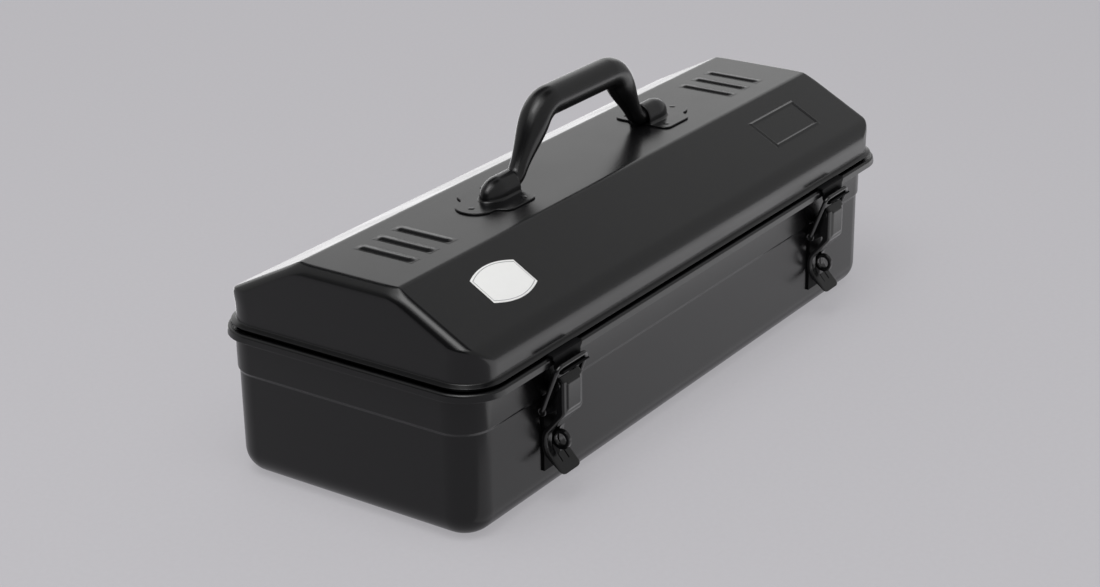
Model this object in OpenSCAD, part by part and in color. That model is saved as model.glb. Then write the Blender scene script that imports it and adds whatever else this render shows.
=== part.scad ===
// Camber-top steel toolbox with a bail handle and two draw latches.
// Millimetres, +Z up, +X along the box, the latches face -Y.
// The origin is on the floor, at the middle of the rim's outline.

/* [Base tub] */
// Outside length of the tub wall under the rim
tub_l = 406; // [360:1:460]
// Outside width of the tub wall under the rim
tub_w = 154.5; // [142:0.5:180]
// Height of the rim above the floor
rim_z = 85; // [80:1:110]
// Thickness of the pressed sheet
sheet = 1; // [0.8:0.1:1.2]
// Drop from the rim to the step in the wall
step_drop = 27.2; // [24:0.2:30]
// Inward set of the wall below the step
step_in = 1; // [0.8:0.1:1.4]
// Radius of the tub's upright corners
corner_r = 18; // [15.5:0.5:22]
// Radius of the tub's bottom edge
bottom_r = 13.5; // [8:0.5:14]
// Reach of the rim beyond the front wall
rim_front = 9; // [8.6:0.1:10]
// Reach of the rim beyond the back wall
rim_back = 3.5; // [3.2:0.1:5]
// Reach of the rim beyond each end wall
rim_end = 5.5; // [5:0.1:7]
// Radius of the rim's corners
rim_r = 23.5; // [22:0.5:26]
// Height of the rim's turned-down edge
skirt_h = 8; // [5:0.1:9]

/* [Lid] */
// Height of the lid above the rim
lid_h = 40; // [34:1:48]
// Height above the rim where the slope would meet the side wall
lid_side_h = 15; // [14:0.5:18]
// Width of the flat top between its ridges
lid_top_w = 62.6; // [56:0.2:72]
// Width of the flat brim around the lid's foot
brim_w = 5; // [4.6:0.1:5.4]
// Inset of the brim's edge from the rim's edge
brim_inset = 0.5; // [0.3:0.1:0.8]
// Radius of the bend between side wall and slope
bend_r = 16; // [12:0.5:18]
// Radius of the two ridges of the flat top
ridge_r = 6; // [3:0.5:9]
// Radius of the edges along the lid's two ends
lid_end_r = 7; // [5:0.5:9]
// Length of the pressed frame on the front slope
frame_l = 50; // [40:1:56]
// Height of the pressed frame, along the slope
frame_h = 21.5; // [16:0.5:24]
// Distance of the frame's middle from the end wall
frame_in = 66.5; // [60:0.5:80]
// Width of the frame's bead
frame_bead = 1.8; // [1.4:0.1:2.4]
// Rise of the frame's bead above the slope
frame_rise = 0.7; // [0.5:0.1:1]
// Length of the stiffening ribs across the top
rib_l = 40; // [30:1:44]
// Radius of the round rod that shapes a rib
rib_r = 6; // [5:0.5:8]
// Rise of a rib above the top
rib_rise = 0.8; // [0.5:0.1:1.2]
// Distance between neighbouring ribs
rib_pitch = 15; // [13:0.5:17]
// Distance of the middle rib from the end wall
rib_in = 51; // [45:0.5:57]
// Length of the label
label_l = 33; // [24:1:40]
// Height of the label, along the slope
label_h = 17.6; // [12:0.2:20]
// Thickness of the label
label_t = 0.4; // [0.3:0.1:0.6]
// Distance of the label's middle from the end wall
label_in = 61; // [50:0.5:80]
// Distance of the label's and frame's middle from the slope's foot
slope_mid = 29; // [26:0.5:32]

/* [Handle] */
// Radius of the grip
grip_r = 8.4; // [7.4:0.1:9]
// Radius of the two feet that turn in the brackets
foot_r = 5; // [4.6:0.1:5.4]
// Height of the grip's axis above the pivot axis
grip_lift = 34.1; // [32:0.1:38]
// Lean of the legs from upright, in degrees
leg_lean = 35; // [30:1:38]
// Radius of the bends at the grip's ends, to the tube's axis
grip_bend = 16; // [14:0.5:20]
// Radius of the bends at the feet, to the tube's axis
foot_bend = 9; // [8:0.5:10]
// Distance from the box's middle to the bend of a foot
foot_x = 63.7; // [60:0.1:68]
// Length of a foot beyond its bend
foot_l = 14; // [11:0.5:15]
// Clearance around a foot in its bracket
foot_play = 0.35; // [0.3:0.05:0.5]
// Thickness of a bracket's sheet
bracket_t = 1; // [0.8:0.1:1.2]
// Length of the straight part of a bracket's dome
dome_l = 15.5; // [15.5:0.5:18]
// Half width of a bracket over its wings
wing_w = 17.9; // [17:0.1:19]
// Length of a bracket's winged part
wing_l = 26; // [24:0.5:28]
// Radius of the wings' corners
wing_r = 4; // [3:0.25:5]
// Distance from a bracket's inner edge to its wing rivets
wing_rivet = 6.4; // [5.5:0.1:8]
// Distance from the pivot axis to a wing rivet
wing_rivet_y = 13.2; // [12:0.1:13.6]
// Radius of a bracket's outer lobe
lobe_r = 11.5; // [10:0.25:12.5]
// Length of a bracket
bracket_l = 41; // [39:0.5:44]
// Distance from a bracket's outer end to its outer rivet
lobe_rivet = 6.6; // [5.5:0.1:8]

/* [Rivets] */
// Radius of a rivet's shank
rivet_r = 1.5; // [1.2:0.1:1.7]
// Radius of a rivet's head
head_r = 2.7; // [2.4:0.1:3]
// Height of a rivet's head
head_h = 1.2; // [0.9:0.1:1.4]
// Radius of the ball that rounds a rivet's head
head_ball = 3.8; // [3.4:0.1:4.4]
// Clearance around a rivet's shank
rivet_play = 0.05; // [0.03:0.01:0.08]

/* [Hinges] */
// Distance of each hinge's middle from the end wall
hinge_in = 88; // [70:1:110]
// Length of a hinge
hinge_l = 40; // [36:1:50]
// Length of the lid's knuckle in the middle of a hinge
knuckle_l = 15; // [12:0.5:18]
// Gap between neighbouring knuckles
knuckle_gap = 0.3; // [0.3:0.05:0.5]
// Radius of a hinge pin
pin_r = 1.5; // [1.3:0.1:1.7]
// Running clearance around a hinge or latch pin
pin_play = 0.05; // [0.03:0.01:0.08]
// Reach of a hinge pin's head beyond its shank
hinge_head = 0.8; // [0.5:0.1:1]
// Thickness of the head of a hinge or lever pin
pin_head_t = 1.2; // [0.8:0.1:1.3]
// Gap between a pin's head and the piece beside it
pin_head_gap = 0.2; // [0.1:0.05:0.3]
// Thickness of a hinge leaf
leaf_t = 1.2; // [1:0.1:1.4]
// Gap between a knuckle and the rim's edge
knuckle_off = 0.5; // [0.4:0.05:0.8]
// Gap between the base leaf and the rim's edge that it passes
leaf_gap = 0.8; // [0.6:0.05:1]
// Drop from the rim to the lower edge of a base leaf
leaf_drop = 23; // [21:0.5:24]

/* [Latches] */
// Distance of each latch's middle from the end wall
latch_in = 66.5; // [60:0.5:80]
// Drop from the rim to the axis of the bar in its hook
hook_drop = 7; // [6.5:0.1:7.5]
// Gap between a keeper and the rim's edge
keeper_gap = 0.4; // [0.4:0.05:0.6]
// Thickness of a keeper
keeper_t = 1; // [0.8:0.1:1.1]
// Half width of a keeper
keeper_half = 11; // [10:0.25:11.25]
// Radius of the link's bar
bar_r = 1.6; // [1.4:0.05:1.7]
// Clearance around the bar in its hook
hook_play = 0.9; // [0.9:0.05:1.1]
// Drop from the bar's axis to the top of the hook's lip
lip_drop = 1.8; // [1.7:0.05:2.1]
// Drop from the rim to the lever's pivot
lever_drop = 18; // [17.5:0.1:18.5]
// Drop from the rim to the link's pivot
link_drop = 32; // [31.5:0.1:32.5]
// Distance of the link's pivot from the wall
link_off = 4.5; // [4.3:0.1:4.9]
// Set of the lever's pivot outside the line of pull
over_centre = 0.4; // [0.2:0.05:0.6]
// Half width of the lever over its cheeks
lever_half = 8.5; // [8.3:0.1:8.9]
// Thickness of the lever's sheet
lever_t = 1.2; // [1:0.1:1.2]
// Half width of the lever's finger tab
tab_half = 8.2; // [7.6:0.1:8.3]
// Rise of the lever's top above its pivot
lever_top = 4.6; // [4.2:0.1:5]
// Height of the lower edge of the lever's bevel above its pivot
bevel_z = 1.8; // [1.4:0.1:2.4]
// Depth of the bevel at the lever's top
bevel_in = 2.4; // [1.8:0.1:2.6]
// Distance of the lever's face from its pivot
face_off = 4.2; // [4:0.1:4.5]
// Gap between the latch plate's ears and the lever's face
ear_play = 0.4; // [0.3:0.05:0.5]
// Reach of a lever's cheek behind its pivot
cheek_back = 2.8; // [2.6:0.1:3.4]
// Radius of a lever's cheek around the link's pivot
cheek_r = 3; // [2.6:0.1:3.2]
// Distance of the lever's waist from the wall
waist_off = 3.3; // [3.2:0.05:3.6]
// Reach of the finger tab's end from the wall
tab_reach = 13.4; // [12.6:0.2:15]
// Drop from the rim to the foot of the lever's face
face_drop = 34; // [33:0.25:34.5]
// Drop from the rim to the upper end of the waist
waist_top = 47.5; // [47:0.25:48]
// Drop from the rim to the lower end of the waist
waist_low = 55; // [54.5:0.25:56]
// Drop from the rim to the end of the finger tab
tab_drop = 66.6; // [65:0.2:67]
// Half width of the raised pad on the lever's face
pad_half = 6.6; // [5.6:0.1:7]
// Rise of the pad
pad_rise = 0.9; // [0.5:0.1:0.9]
// Border of the lever's face above and below the pad
pad_border = 2; // [1.5:0.1:3]
// Half width of the slot for the padlock eye
slot_half = 3.2; // [2.8:0.1:3.6]
// Gap between the slot's ends and the padlock eye
slot_gap = 1.6; // [1.5:0.1:2]
// Radius of the hole in the padlock eye
eye_hole_r = 3.2; // [2.8:0.1:3.3]
// Radius of the padlock eye's outside
eye_r = 5.4; // [5:0.1:5.6]
// Thickness of the padlock eye
eye_t = 2.4; // [2:0.1:3]
// Half height of the padlock eye's root
eye_root = 3.8; // [3.4:0.1:4.2]
// Distance of the padlock eye's hole from the wall
eye_off = 7; // [6.8:0.1:7.4]
// Drop from the rim to the padlock eye's hole
eye_drop = 51.5; // [51:0.25:52]
// Thickness of the link's legs
leg_t = 1.6; // [1.4:0.1:1.9]
// Width of the link's legs
leg_w = 2.4; // [2:0.1:2.8]
// Radius of the eyes at the ends of the legs
leg_eye_r = 2.6; // [2.4:0.1:2.8]
// Gap between a lever's cheek and a leg
leg_gap = 3.4; // [3.3:0.05:3.6]
// Radius of the lever's pin
lever_pin_r = 1.6; // [1.4:0.05:1.7]
// Reach of the lever pin's head beyond its shank
lever_head = 1.2; // [0.8:0.1:1.3]
// Radius of the link's pin
link_pin_r = 1.5; // [1.3:0.05:1.5]
// Thickness of the latch plate
plate_t = 1.2; // [1:0.1:1.3]
// Half width of the latch plate
plate_half = 6.9; // [6.5:0.1:7]
// Drop from the rim to the lower end of the latch plate
plate_drop = 68; // [67:0.5:69]
// Height of the latch plate
plate_h = 40; // [39.5:0.25:40.5]
// Distance of a rivet from the end of the latch plate
plate_rivet = 6.5; // [6:0.25:7]
// Height of the root of the latch plate's ears
ear_root = 5; // [4:0.25:6]
// Drop from the top of the latch plate to its ears' root
ear_drop = 1; // [0.5:0.1:1.5]
// Rise of the ears' lower edge over the link's pivot
ear_rise = 6; // [5.5:0.1:7]
// Reach of the ears' lower edge past the link's pivot
ear_past = 1.5; // [1:0.1:2]

/* [Hidden] */
$fn = 64;
steel_black = [0.05, 0.05, 0.055];
steel_bare = [0.55, 0.55, 0.56];
label_white = [0.9, 0.9, 0.88];
cut = 0.5;
lap = 0.5;
hair = 0.05;
drill = 20;
deep = 300;
shift_y = (rim_front - rim_back) / 2;
half_l = tub_l / 2;
half_w = tub_w / 2;
latch_x = half_l - latch_in;
hinge_x = half_l - hinge_in;
frame_x = half_l - frame_in;
label_x = half_l - label_in;
rib_x = half_l - rib_in;
rim_x = half_l + rim_end;
rim_y = half_w + (rim_front + rim_back) / 2;
step_z = rim_z - step_drop;
band_y = shift_y - half_w;
wall_y = band_y + step_in;
back_y = shift_y + half_w;

lid_x = rim_x - brim_inset - brim_w;
lid_y = rim_y - brim_inset - brim_w;
brim_r = rim_r - brim_inset;
lid_corner_r = brim_r - brim_w;
lid_z = rim_z + lid_h;
slope_z = rim_z + lid_side_h;
top_y = lid_top_w / 2;
slope_deg = atan((lid_z - slope_z) / (lid_y - top_y));

pivot_z = lid_z + foot_play + foot_r;
mouth_x = foot_x - cut;
dome_in = foot_r + foot_play;
dome_out = dome_in + bracket_t;
bracket_x = mouth_x + bracket_l;
lobe_x = bracket_x - lobe_r;

knuckle_r = pin_r + pin_play + leaf_t;
axis_y = rim_y + knuckle_off + knuckle_r;
leaf_out = rim_y + leaf_gap;
leaf_under = rim_z - skirt_h - leaf_gap;

hook_r = bar_r + hook_play;
hook_y = -rim_y - keeper_gap - keeper_t - hook_r;
hook_z = rim_z - hook_drop;
link_y = wall_y - link_off;
link_z = rim_z - link_drop;
lever_z = rim_z - lever_drop;
lever_y = hook_y + (link_y - hook_y) * (hook_z - lever_z) / (hook_z - link_z) - over_centre;
plate_y = wall_y - plate_t;
face_y = lever_y - face_off;
waist_y = wall_y - waist_off;
cheek_in = lever_half - lever_t;
leg_in = lever_half + leg_gap;
link_half = leg_in + leg_t;
eye_y = wall_y - eye_off;
eye_z = rim_z - eye_drop;
ear_r = face_off - lever_t - ear_play;
lever_path = [
    [face_y + bevel_in, lever_z + lever_top],
    [face_y, lever_z + bevel_z],
    [face_y, rim_z - face_drop],
    [waist_y, rim_z - waist_top],
    [waist_y, rim_z - waist_low],
    [wall_y - tab_reach, rim_z - tab_drop]
];

// Unit vector, left-hand normal and parallel copy of an open path.
function unit(v) = v / norm(v);
function normal(a, b) = [-unit(b - a)[1], unit(b - a)[0]];
function before(p, i) = i > 0 ? normal(p[i - 1], p[i]) : normal(p[0], p[1]);
function after(p, i) = i < len(p) - 1 ? normal(p[i], p[i + 1]) : before(p, i);
function miter(a, b) = (a + b) / (1 + a * b);
function beside(p, t) = [for (i = [0 : len(p) - 1]) p[i] + t * miter(before(p, i), after(p, i))];
function backwards(p) = [for (i = [len(p) - 1 : -1 : 0]) p[i]];

// A flat outline in Y and Z, given thickness along X about x.
module along_x(length, x = 0) {
    translate([x, 0, 0])
        rotate([90, 0, 90])
            linear_extrude(length, center = true)
                children();
}

// A flat outline in X and Z, given thickness along Y about the middle.
module along_y(length) {
    rotate([90, 0, 0])
        linear_extrude(length, center = true)
            children();
}

// A rod along X about x.
module rod(length, r, x = 0) {
    translate([x, 0, 0])
        rotate([0, 90, 0])
            cylinder(h = length, r = r, center = true);
}

// Rectangle with round corners, by its half sizes.
module plan(hx, hy, r) {
    square([2 * hx, 2 * (hy - r)], center = true);
    square([2 * (hx - r), 2 * hy], center = true);
    for (sx = [-1, 1])
        for (sy = [-1, 1])
            translate([sx * (hx - r), sy * (hy - r)])
                circle(r);
}

// Upright section of a pan: half width w, round lower edges.
module pan_section(w, h, r) {
    translate([-w + r, 0])
        square([2 * (w - r), h]);
    translate([-w, r])
        square([2 * w, h - r]);
    for (s = [-1, 1])
        translate([s * (w - r), r])
            circle(r);
}

// Solid pan with round corners and a round bottom edge.
module pan(hx, hy, h, rc, rb) {
    along_x(2 * (hx - rc))
        pan_section(hy, h, rb);
    along_y(2 * (hy - rc))
        pan_section(hx, h, rb);
    for (sx = [-1, 1])
        for (sy = [-1, 1])
            translate([sx * (hx - rc), sy * (hy - rc), 0])
                rotate_extrude()
                    intersection() {
                        pan_section(rc, h, rb);
                        square([rc, h]);
                    }
}

module base_tub() {
    color(steel_black)
        difference() {
            union() {
                translate([0, shift_y, 0]) {
                    pan(half_l - step_in, half_w - step_in, step_z + sheet, corner_r - step_in, bottom_r);
                    translate([0, 0, step_z])
                        linear_extrude(step_drop)
                            plan(half_l, half_w, corner_r);
                }
                translate([0, 0, rim_z - skirt_h])
                    linear_extrude(skirt_h)
                        plan(rim_x, rim_y, rim_r);
            }
            translate([0, shift_y, sheet])
                pan(half_l - step_in - sheet, half_w - step_in - sheet, rim_z, corner_r - step_in - sheet,
                    bottom_r - sheet);
            translate([0, shift_y, step_z + sheet])
                linear_extrude(step_drop)
                    plan(half_l - sheet, half_w - sheet, corner_r - sheet);
            translate([0, 0, rim_z - skirt_h - cut])
                linear_extrude(skirt_h - sheet + cut)
                    difference() {
                        plan(rim_x - sheet, rim_y - sheet, rim_r - sheet);
                        translate([0, shift_y])
                            plan(half_l, half_w, corner_r);
                    }
            latch_holes();
            hinge_holes();
        }
}

// Section of the lid across the box, by its half width, slope foot, top half width and height.
module lid_section(hy, z1, yt, z2, rb, rr) {
    tb = rb * tan((90 - slope_deg) / 2);
    tr = rr * tan(slope_deg / 2);
    right = [
        [hy, rim_z],
        [hy, z1 - tb],
        [hy - tb * cos(slope_deg), z1 + tb * sin(slope_deg)],
        [yt + tr * cos(slope_deg), z2 - tr * sin(slope_deg)],
        [yt - tr, z2]
    ];
    left = [for (p = right) [-p[0], p[1]]];
    polygon(concat(right, backwards(left)));
    for (s = [-1, 1]) {
        translate([s * (hy - rb), z1 - tb])
            circle(rb);
        translate([s * (yt - tr), z2 - rr])
            circle(rr);
    }
}

// Deep slab with its top at z = 0 and round edges along its two ends.
module end_slab(hx, r) {
    along_y(2 * deep) {
        translate([-hx, -deep])
            square([2 * hx, deep - r]);
        translate([-hx + r, -deep])
            square([2 * (hx - r), deep]);
        for (s = [-1, 1])
            translate([s * (hx - r), -r])
                circle(r);
    }
}

// Solid camber form, inset by t from the lid's outside.
module camber(t) {
    hx = lid_x - t;
    hy = lid_y - t;
    z1 = slope_z + t * tan(slope_deg) - t / cos(slope_deg);
    z2 = lid_z - t;
    yt = hy - (z2 - z1) / tan(slope_deg);
    intersection() {
        along_x(2 * hx)
            lid_section(hy, z1, yt, z2, bend_r - t, ridge_r - t);
        translate([0, 0, rim_z])
            linear_extrude(lid_h)
                plan(hx, hy, lid_corner_r - t);
        translate([0, 0, z2])
            end_slab(hx, lid_end_r - t);
        for_slopes(hy, z1)
            end_slab(hx, lid_end_r - t);
    }
}

// Places the same slab on the front and the back slope and keeps what both hold.
module for_slopes(hy, z1) {
    intersection() {
        translate([0, -hy, z1])
            rotate([slope_deg, 0, 0])
                children();
        mirror([0, 1, 0])
            translate([0, -hy, z1])
                rotate([slope_deg, 0, 0])
                    children();
    }
}

// Front slope as a plane: x along the box, y up the slope, z outward.
module on_slope() {
    translate([0, -lid_y, slope_z])
        rotate([slope_deg, 0, 0])
            children();
}

module slope_frame() {
    on_slope()
        translate([frame_x, slope_mid, -sheet / 2])
            linear_extrude(sheet / 2 + frame_rise)
                difference() {
                    square([frame_l, frame_h], center = true);
                    square([frame_l - 2 * frame_bead, frame_h - 2 * frame_bead], center = true);
                }
}

module top_ribs() {
    for (s = [-1, 1])
        for (i = [-1, 0, 1])
            translate([s * (rib_x + i * rib_pitch), 0, lid_z + rib_rise - rib_r])
                intersection() {
                    union() {
                        rotate([90, 0, 0])
                            cylinder(h = rib_l - 2 * rib_r, r = rib_r, center = true);
                        for (e = [-1, 1])
                            translate([0, e * (rib_l / 2 - rib_r), 0])
                                sphere(rib_r);
                    }
                    translate([-rib_r, -rib_l, rib_r - rib_rise - sheet / 2])
                        cube([2 * rib_r, 2 * rib_l, 2 * rib_r]);
                }
}

module lid_shell() {
    color(steel_black)
        difference() {
            union() {
                difference() {
                    union() {
                        camber(0);
                        translate([0, 0, rim_z])
                            linear_extrude(sheet)
                                plan(rim_x - brim_inset, rim_y - brim_inset, brim_r);
                    }
                    camber(sheet);
                }
                slope_frame();
                top_ribs();
            }
            bracket_holes();
        }
}

module lid_label() {
    color(label_white)
        on_slope()
            translate([-label_x, slope_mid, 0])
                linear_extrude(label_t)
                    square([label_l, label_h], center = true);
}

module handle() {
    color(steel_black)
        translate([0, 0, pivot_z])
            for (s = [0, 1])
                mirror([s, 0, 0])
                    handle_half();
}

// Half of the handle on the +X side: foot, lower bend, tapered leg, upper bend, half the grip.
// The straight parts are a hair thinner than the bends and run a little way into them.
module handle_half() {
    turn = 90 - leg_lean;
    bend_x = foot_x - foot_bend * sin(turn);
    bend_z = foot_bend * (1 - cos(turn));
    leg_top = grip_lift - grip_bend * (1 - cos(turn));
    leg_l = (leg_top - bend_z) / cos(leg_lean);
    grip_x = bend_x - leg_l * sin(leg_lean) - grip_bend * sin(turn);
    rod(foot_l + lap, foot_r - hair, foot_x + (foot_l - lap) / 2);
    translate([foot_x, 0, foot_bend])
        rotate([90, 0, 0])
            rotate([0, 0, -90 - turn])
                rotate_extrude(angle = turn)
                    translate([foot_bend, 0])
                        circle(foot_r);
    translate([bend_x, 0, bend_z])
        rotate([0, -leg_lean, 0])
            translate([0, 0, -lap])
                cylinder(h = leg_l + 2 * lap, r1 = foot_r - hair, r2 = grip_r - hair);
    translate([grip_x, 0, grip_lift - grip_bend])
        rotate([90, 0, 0])
            rotate([0, 0, 90 - turn])
                rotate_extrude(angle = turn)
                    translate([grip_bend, 0])
                        circle(grip_r);
    translate([0, 0, grip_lift])
        rod(2 * (grip_x + lap), grip_r - hair);
}

// Bullet form over a foot: half round above its axis, straight sides below it.
module bullet(r, x0, x1) {
    translate([0, 0, pivot_z]) {
        rod(x1 - x0, r, (x0 + x1) / 2);
        translate([x1, 0, 0])
            sphere(r);
    }
    translate([x0, -r, lid_z - cut])
        cube([x1 - x0, 2 * r, pivot_z - lid_z + cut]);
    translate([x1, 0, lid_z - cut])
        cylinder(h = pivot_z - lid_z + cut, r = r);
}

module bracket_outline() {
    translate([mouth_x + wing_l / 2, 0])
        plan(wing_l / 2, wing_w, wing_r);
    translate([lobe_x, 0])
        circle(lobe_r);
}

module bracket() {
    color(steel_black)
        difference() {
            intersection() {
                union() {
                    translate([0, 0, lid_z])
                        linear_extrude(bracket_t)
                            bracket_outline();
                    bullet(dome_out, mouth_x, mouth_x + dome_l);
                }
                translate([0, -deep / 2, lid_z])
                    cube([deep, deep, deep]);
            }
            bullet(dome_in, mouth_x - cut, mouth_x + dome_l);
            bracket_holes();
        }
}

module handle_bracket_left() {
    mirror([1, 0, 0])
        bracket();
}

module handle_bracket_right() {
    bracket();
}

// Repeats its children at each rivet of both brackets, on the lid's top.
module at_bracket_rivets() {
    for (s = [-1, 1]) {
        for (w = [-1, 1])
            translate([s * (mouth_x + wing_rivet), w * wing_rivet_y, lid_z])
                children();
        translate([s * (bracket_x - lobe_rivet), 0, lid_z])
            children();
    }
}

// A rivet through a stack from z = -below to z = above, with a head at each end.
module rivet(below, above) {
    translate([0, 0, -below])
        cylinder(h = below + above, r = rivet_r);
    translate([0, 0, above])
        intersection() {
            translate([0, 0, head_h - head_ball])
                sphere(head_ball);
            cylinder(h = head_h, r = head_r);
        }
    translate([0, 0, -below - head_h / 2])
        cylinder(h = head_h / 2, r = head_r);
}

module rivet_hole() {
    cylinder(h = drill, r = rivet_r + rivet_play, center = true);
}

module bracket_holes() {
    at_bracket_rivets()
        rivet_hole();
}

module bracket_rivets() {
    color(steel_black)
        at_bracket_rivets()
            rivet(sheet, bracket_t);
}

// Base leaf about its own middle: on the wall, under the rim and up to the knuckles.
module base_leaf(side) {
    ends = (hinge_l - knuckle_l) / 2 - knuckle_gap;
    color(steel_black)
        translate([side * hinge_x, 0, 0])
            difference() {
                union() {
                    translate([-hinge_l / 2, back_y, rim_z - leaf_drop])
                        cube([hinge_l, leaf_t, leaf_under - rim_z + leaf_drop]);
                    translate([-hinge_l / 2, back_y, leaf_under - leaf_t])
                        cube([hinge_l, leaf_out + leaf_t - back_y, leaf_t]);
                    for (s = [-1, 1]) {
                        x = s * (hinge_l - ends) / 2;
                        translate([x - ends / 2, leaf_out, leaf_under - leaf_t])
                            cube([ends, leaf_t, rim_z - leaf_under + leaf_t]);
                        translate([x, axis_y, rim_z])
                            rod(ends, knuckle_r);
                    }
                }
                translate([0, axis_y, rim_z])
                    rod(2 * hinge_l, pin_r + pin_play);
                hinge_holes_at();
            }
}

module hinge_base_leaf_left() {
    base_leaf(-1);
}

module hinge_base_leaf_right() {
    base_leaf(1);
}

// Lid leaf: a plate on the brim with one knuckle.
module lid_leaf(side) {
    brim_z = rim_z + sheet;
    leaf_in = lid_y + cut;
    brim_y = rim_y - brim_inset;
    color(steel_black)
        translate([side * hinge_x, 0, 0])
            difference() {
                union() {
                    translate([-hinge_l / 2, leaf_in, brim_z])
                        cube([hinge_l, brim_y - leaf_in, leaf_t]);
                    translate([-knuckle_l / 2, leaf_in, brim_z])
                        cube([knuckle_l, axis_y - leaf_in, leaf_t]);
                    translate([0, axis_y, rim_z])
                        rod(knuckle_l, knuckle_r);
                }
                translate([0, axis_y, rim_z])
                    rod(2 * hinge_l, pin_r + pin_play);
            }
}

module hinge_lid_leaf_left() {
    lid_leaf(-1);
}

module hinge_lid_leaf_right() {
    lid_leaf(1);
}

module hinge_pin(side) {
    color(steel_bare)
        translate([side * hinge_x, axis_y, rim_z]) {
            rod(hinge_l + 2 * pin_head_gap + pin_head_t, pin_r);
            for (s = [-1, 1])
                rod(pin_head_t, pin_r + hinge_head, s * (hinge_l / 2 + pin_head_gap + pin_head_t / 2));
        }
}

module hinge_pin_left() {
    hinge_pin(-1);
}

module hinge_pin_right() {
    hinge_pin(1);
}

// Repeats its children at the two rivets of one hinge, turned to point out of the back wall.
module at_hinge_rivets() {
    for (s = [-1, 1])
        translate([s * hinge_l / 4, back_y, (rim_z - leaf_drop + leaf_under) / 2])
            rotate([-90, 0, 0])
                children();
}

module hinge_holes_at() {
    at_hinge_rivets()
        rivet_hole();
}

module hinge_holes() {
    for (side = [-1, 1])
        translate([side * hinge_x, 0, 0])
            hinge_holes_at();
}

module hinge_rivets() {
    color(steel_black)
        for (side = [-1, 1])
            translate([side * hinge_x, 0, 0])
                at_hinge_rivets()
                    rivet(sheet, leaf_t);
}

// Repeats its children at the two rivets of one latch plate, turned to point out of the front wall.
module at_latch_rivets() {
    for (z = [plate_drop - plate_rivet, plate_drop - plate_h + plate_rivet])
        translate([0, wall_y, rim_z - z])
            rotate([90, 0, 0])
                children();
}

module latch_holes() {
    for (side = [-1, 1])
        translate([side * latch_x, 0, 0])
            at_latch_rivets()
                rivet_hole();
}

module latch_rivets() {
    color(steel_black)
        for (side = [-1, 1])
            translate([side * latch_x, 0, 0])
                at_latch_rivets()
                    rivet(sheet, plate_t);
}

// Ear of a latch plate: from the plate out to the lever's pivot.
module ear_outline() {
    root_z = rim_z - plate_drop + plate_h - ear_drop;
    root_y = plate_y + plate_t / 2;
    pivot = [lever_y, lever_z];
    side = ear_r * normal(pivot, [root_y, root_z]);
    difference() {
        union() {
            polygon([
                [root_y, root_z - ear_root],
                [root_y, root_z],
                pivot + side,
                pivot - side,
                [link_y - ear_past, link_z + ear_rise]
            ]);
            translate(pivot)
                circle(ear_r);
        }
        translate(pivot)
            circle(lever_pin_r + pin_play);
    }
}

module latch_plate(side) {
    color(steel_black)
        translate([side * latch_x, 0, 0])
            difference() {
                union() {
                    translate([-plate_half, plate_y, rim_z - plate_drop])
                        cube([2 * plate_half, plate_t, plate_h]);
                    for (s = [-1, 1])
                        along_x(plate_t, s * (plate_half - plate_t / 2))
                            ear_outline();
                }
                at_latch_rivets()
                    rivet_hole();
            }
}

module latch_plate_left() {
    latch_plate(-1);
}

module latch_plate_right() {
    latch_plate(1);
}

module padlock_eye(side) {
    color(steel_black)
        along_x(eye_t, side * latch_x)
            difference() {
                union() {
                    translate([eye_y, eye_z])
                        circle(eye_r);
                    translate([eye_y, eye_z - eye_root])
                        square([plate_y - eye_y, 2 * eye_root]);
                }
                translate([eye_y, eye_z])
                    circle(eye_hole_r);
            }
}

module padlock_eye_left() {
    padlock_eye(-1);
}

module padlock_eye_right() {
    padlock_eye(1);
}

// Side view of the lever's sheet.
module lever_band() {
    polygon(concat(lever_path, backwards(beside(lever_path, lever_t))));
}

// Side view of a lever's cheek, with holes for the two pins.
module cheek_outline() {
    difference() {
        union() {
            polygon([
                lever_path[0],
                lever_path[1],
                lever_path[2],
                lever_path[3],
                [link_y + cheek_r, link_z],
                [lever_y + cheek_back, lever_z],
                [lever_y, lever_z + lever_top]
            ]);
            translate([link_y, link_z])
                circle(cheek_r);
        }
        translate([lever_y, lever_z])
            circle(lever_pin_r + pin_play);
        translate([link_y, link_z])
            circle(link_pin_r + pin_play);
    }
}

module latch_lever(side) {
    waist_z = rim_z - waist_top;
    slot_h = 2 * (eye_r + slot_gap);
    pad_h = face_drop - lever_drop + bevel_z - 2 * pad_border;
    color(steel_black)
        translate([side * latch_x, 0, 0])
            difference() {
                union() {
                    along_x(2 * tab_half)
                        lever_band();
                    along_x(2 * lever_half)
                        intersection() {
                            lever_band();
                            translate([face_y, waist_z])
                                square([deep, deep]);
                        }
                    for (s = [-1, 1])
                        along_x(lever_t, s * (lever_half - lever_t / 2))
                            cheek_outline();
                    translate([-pad_half, face_y - pad_rise, rim_z - face_drop + pad_border])
                        cube([2 * pad_half, pad_rise + lever_t / 2, pad_h]);
                }
                translate([-slot_half, eye_y - deep / 2, eye_z - slot_h / 2])
                    cube([2 * slot_half, deep, slot_h]);
            }
}

module latch_lever_left() {
    latch_lever(-1);
}

module latch_lever_right() {
    latch_lever(1);
}

module lever_pin(side) {
    color(steel_black)
        translate([side * latch_x, lever_y, lever_z]) {
            rod(2 * (lever_half + pin_head_gap) + pin_head_t, lever_pin_r);
            for (s = [-1, 1])
                rod(pin_head_t, lever_pin_r + lever_head, s * (lever_half + pin_head_gap + pin_head_t / 2));
        }
}

module lever_pin_left() {
    lever_pin(-1);
}

module lever_pin_right() {
    lever_pin(1);
}

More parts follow.
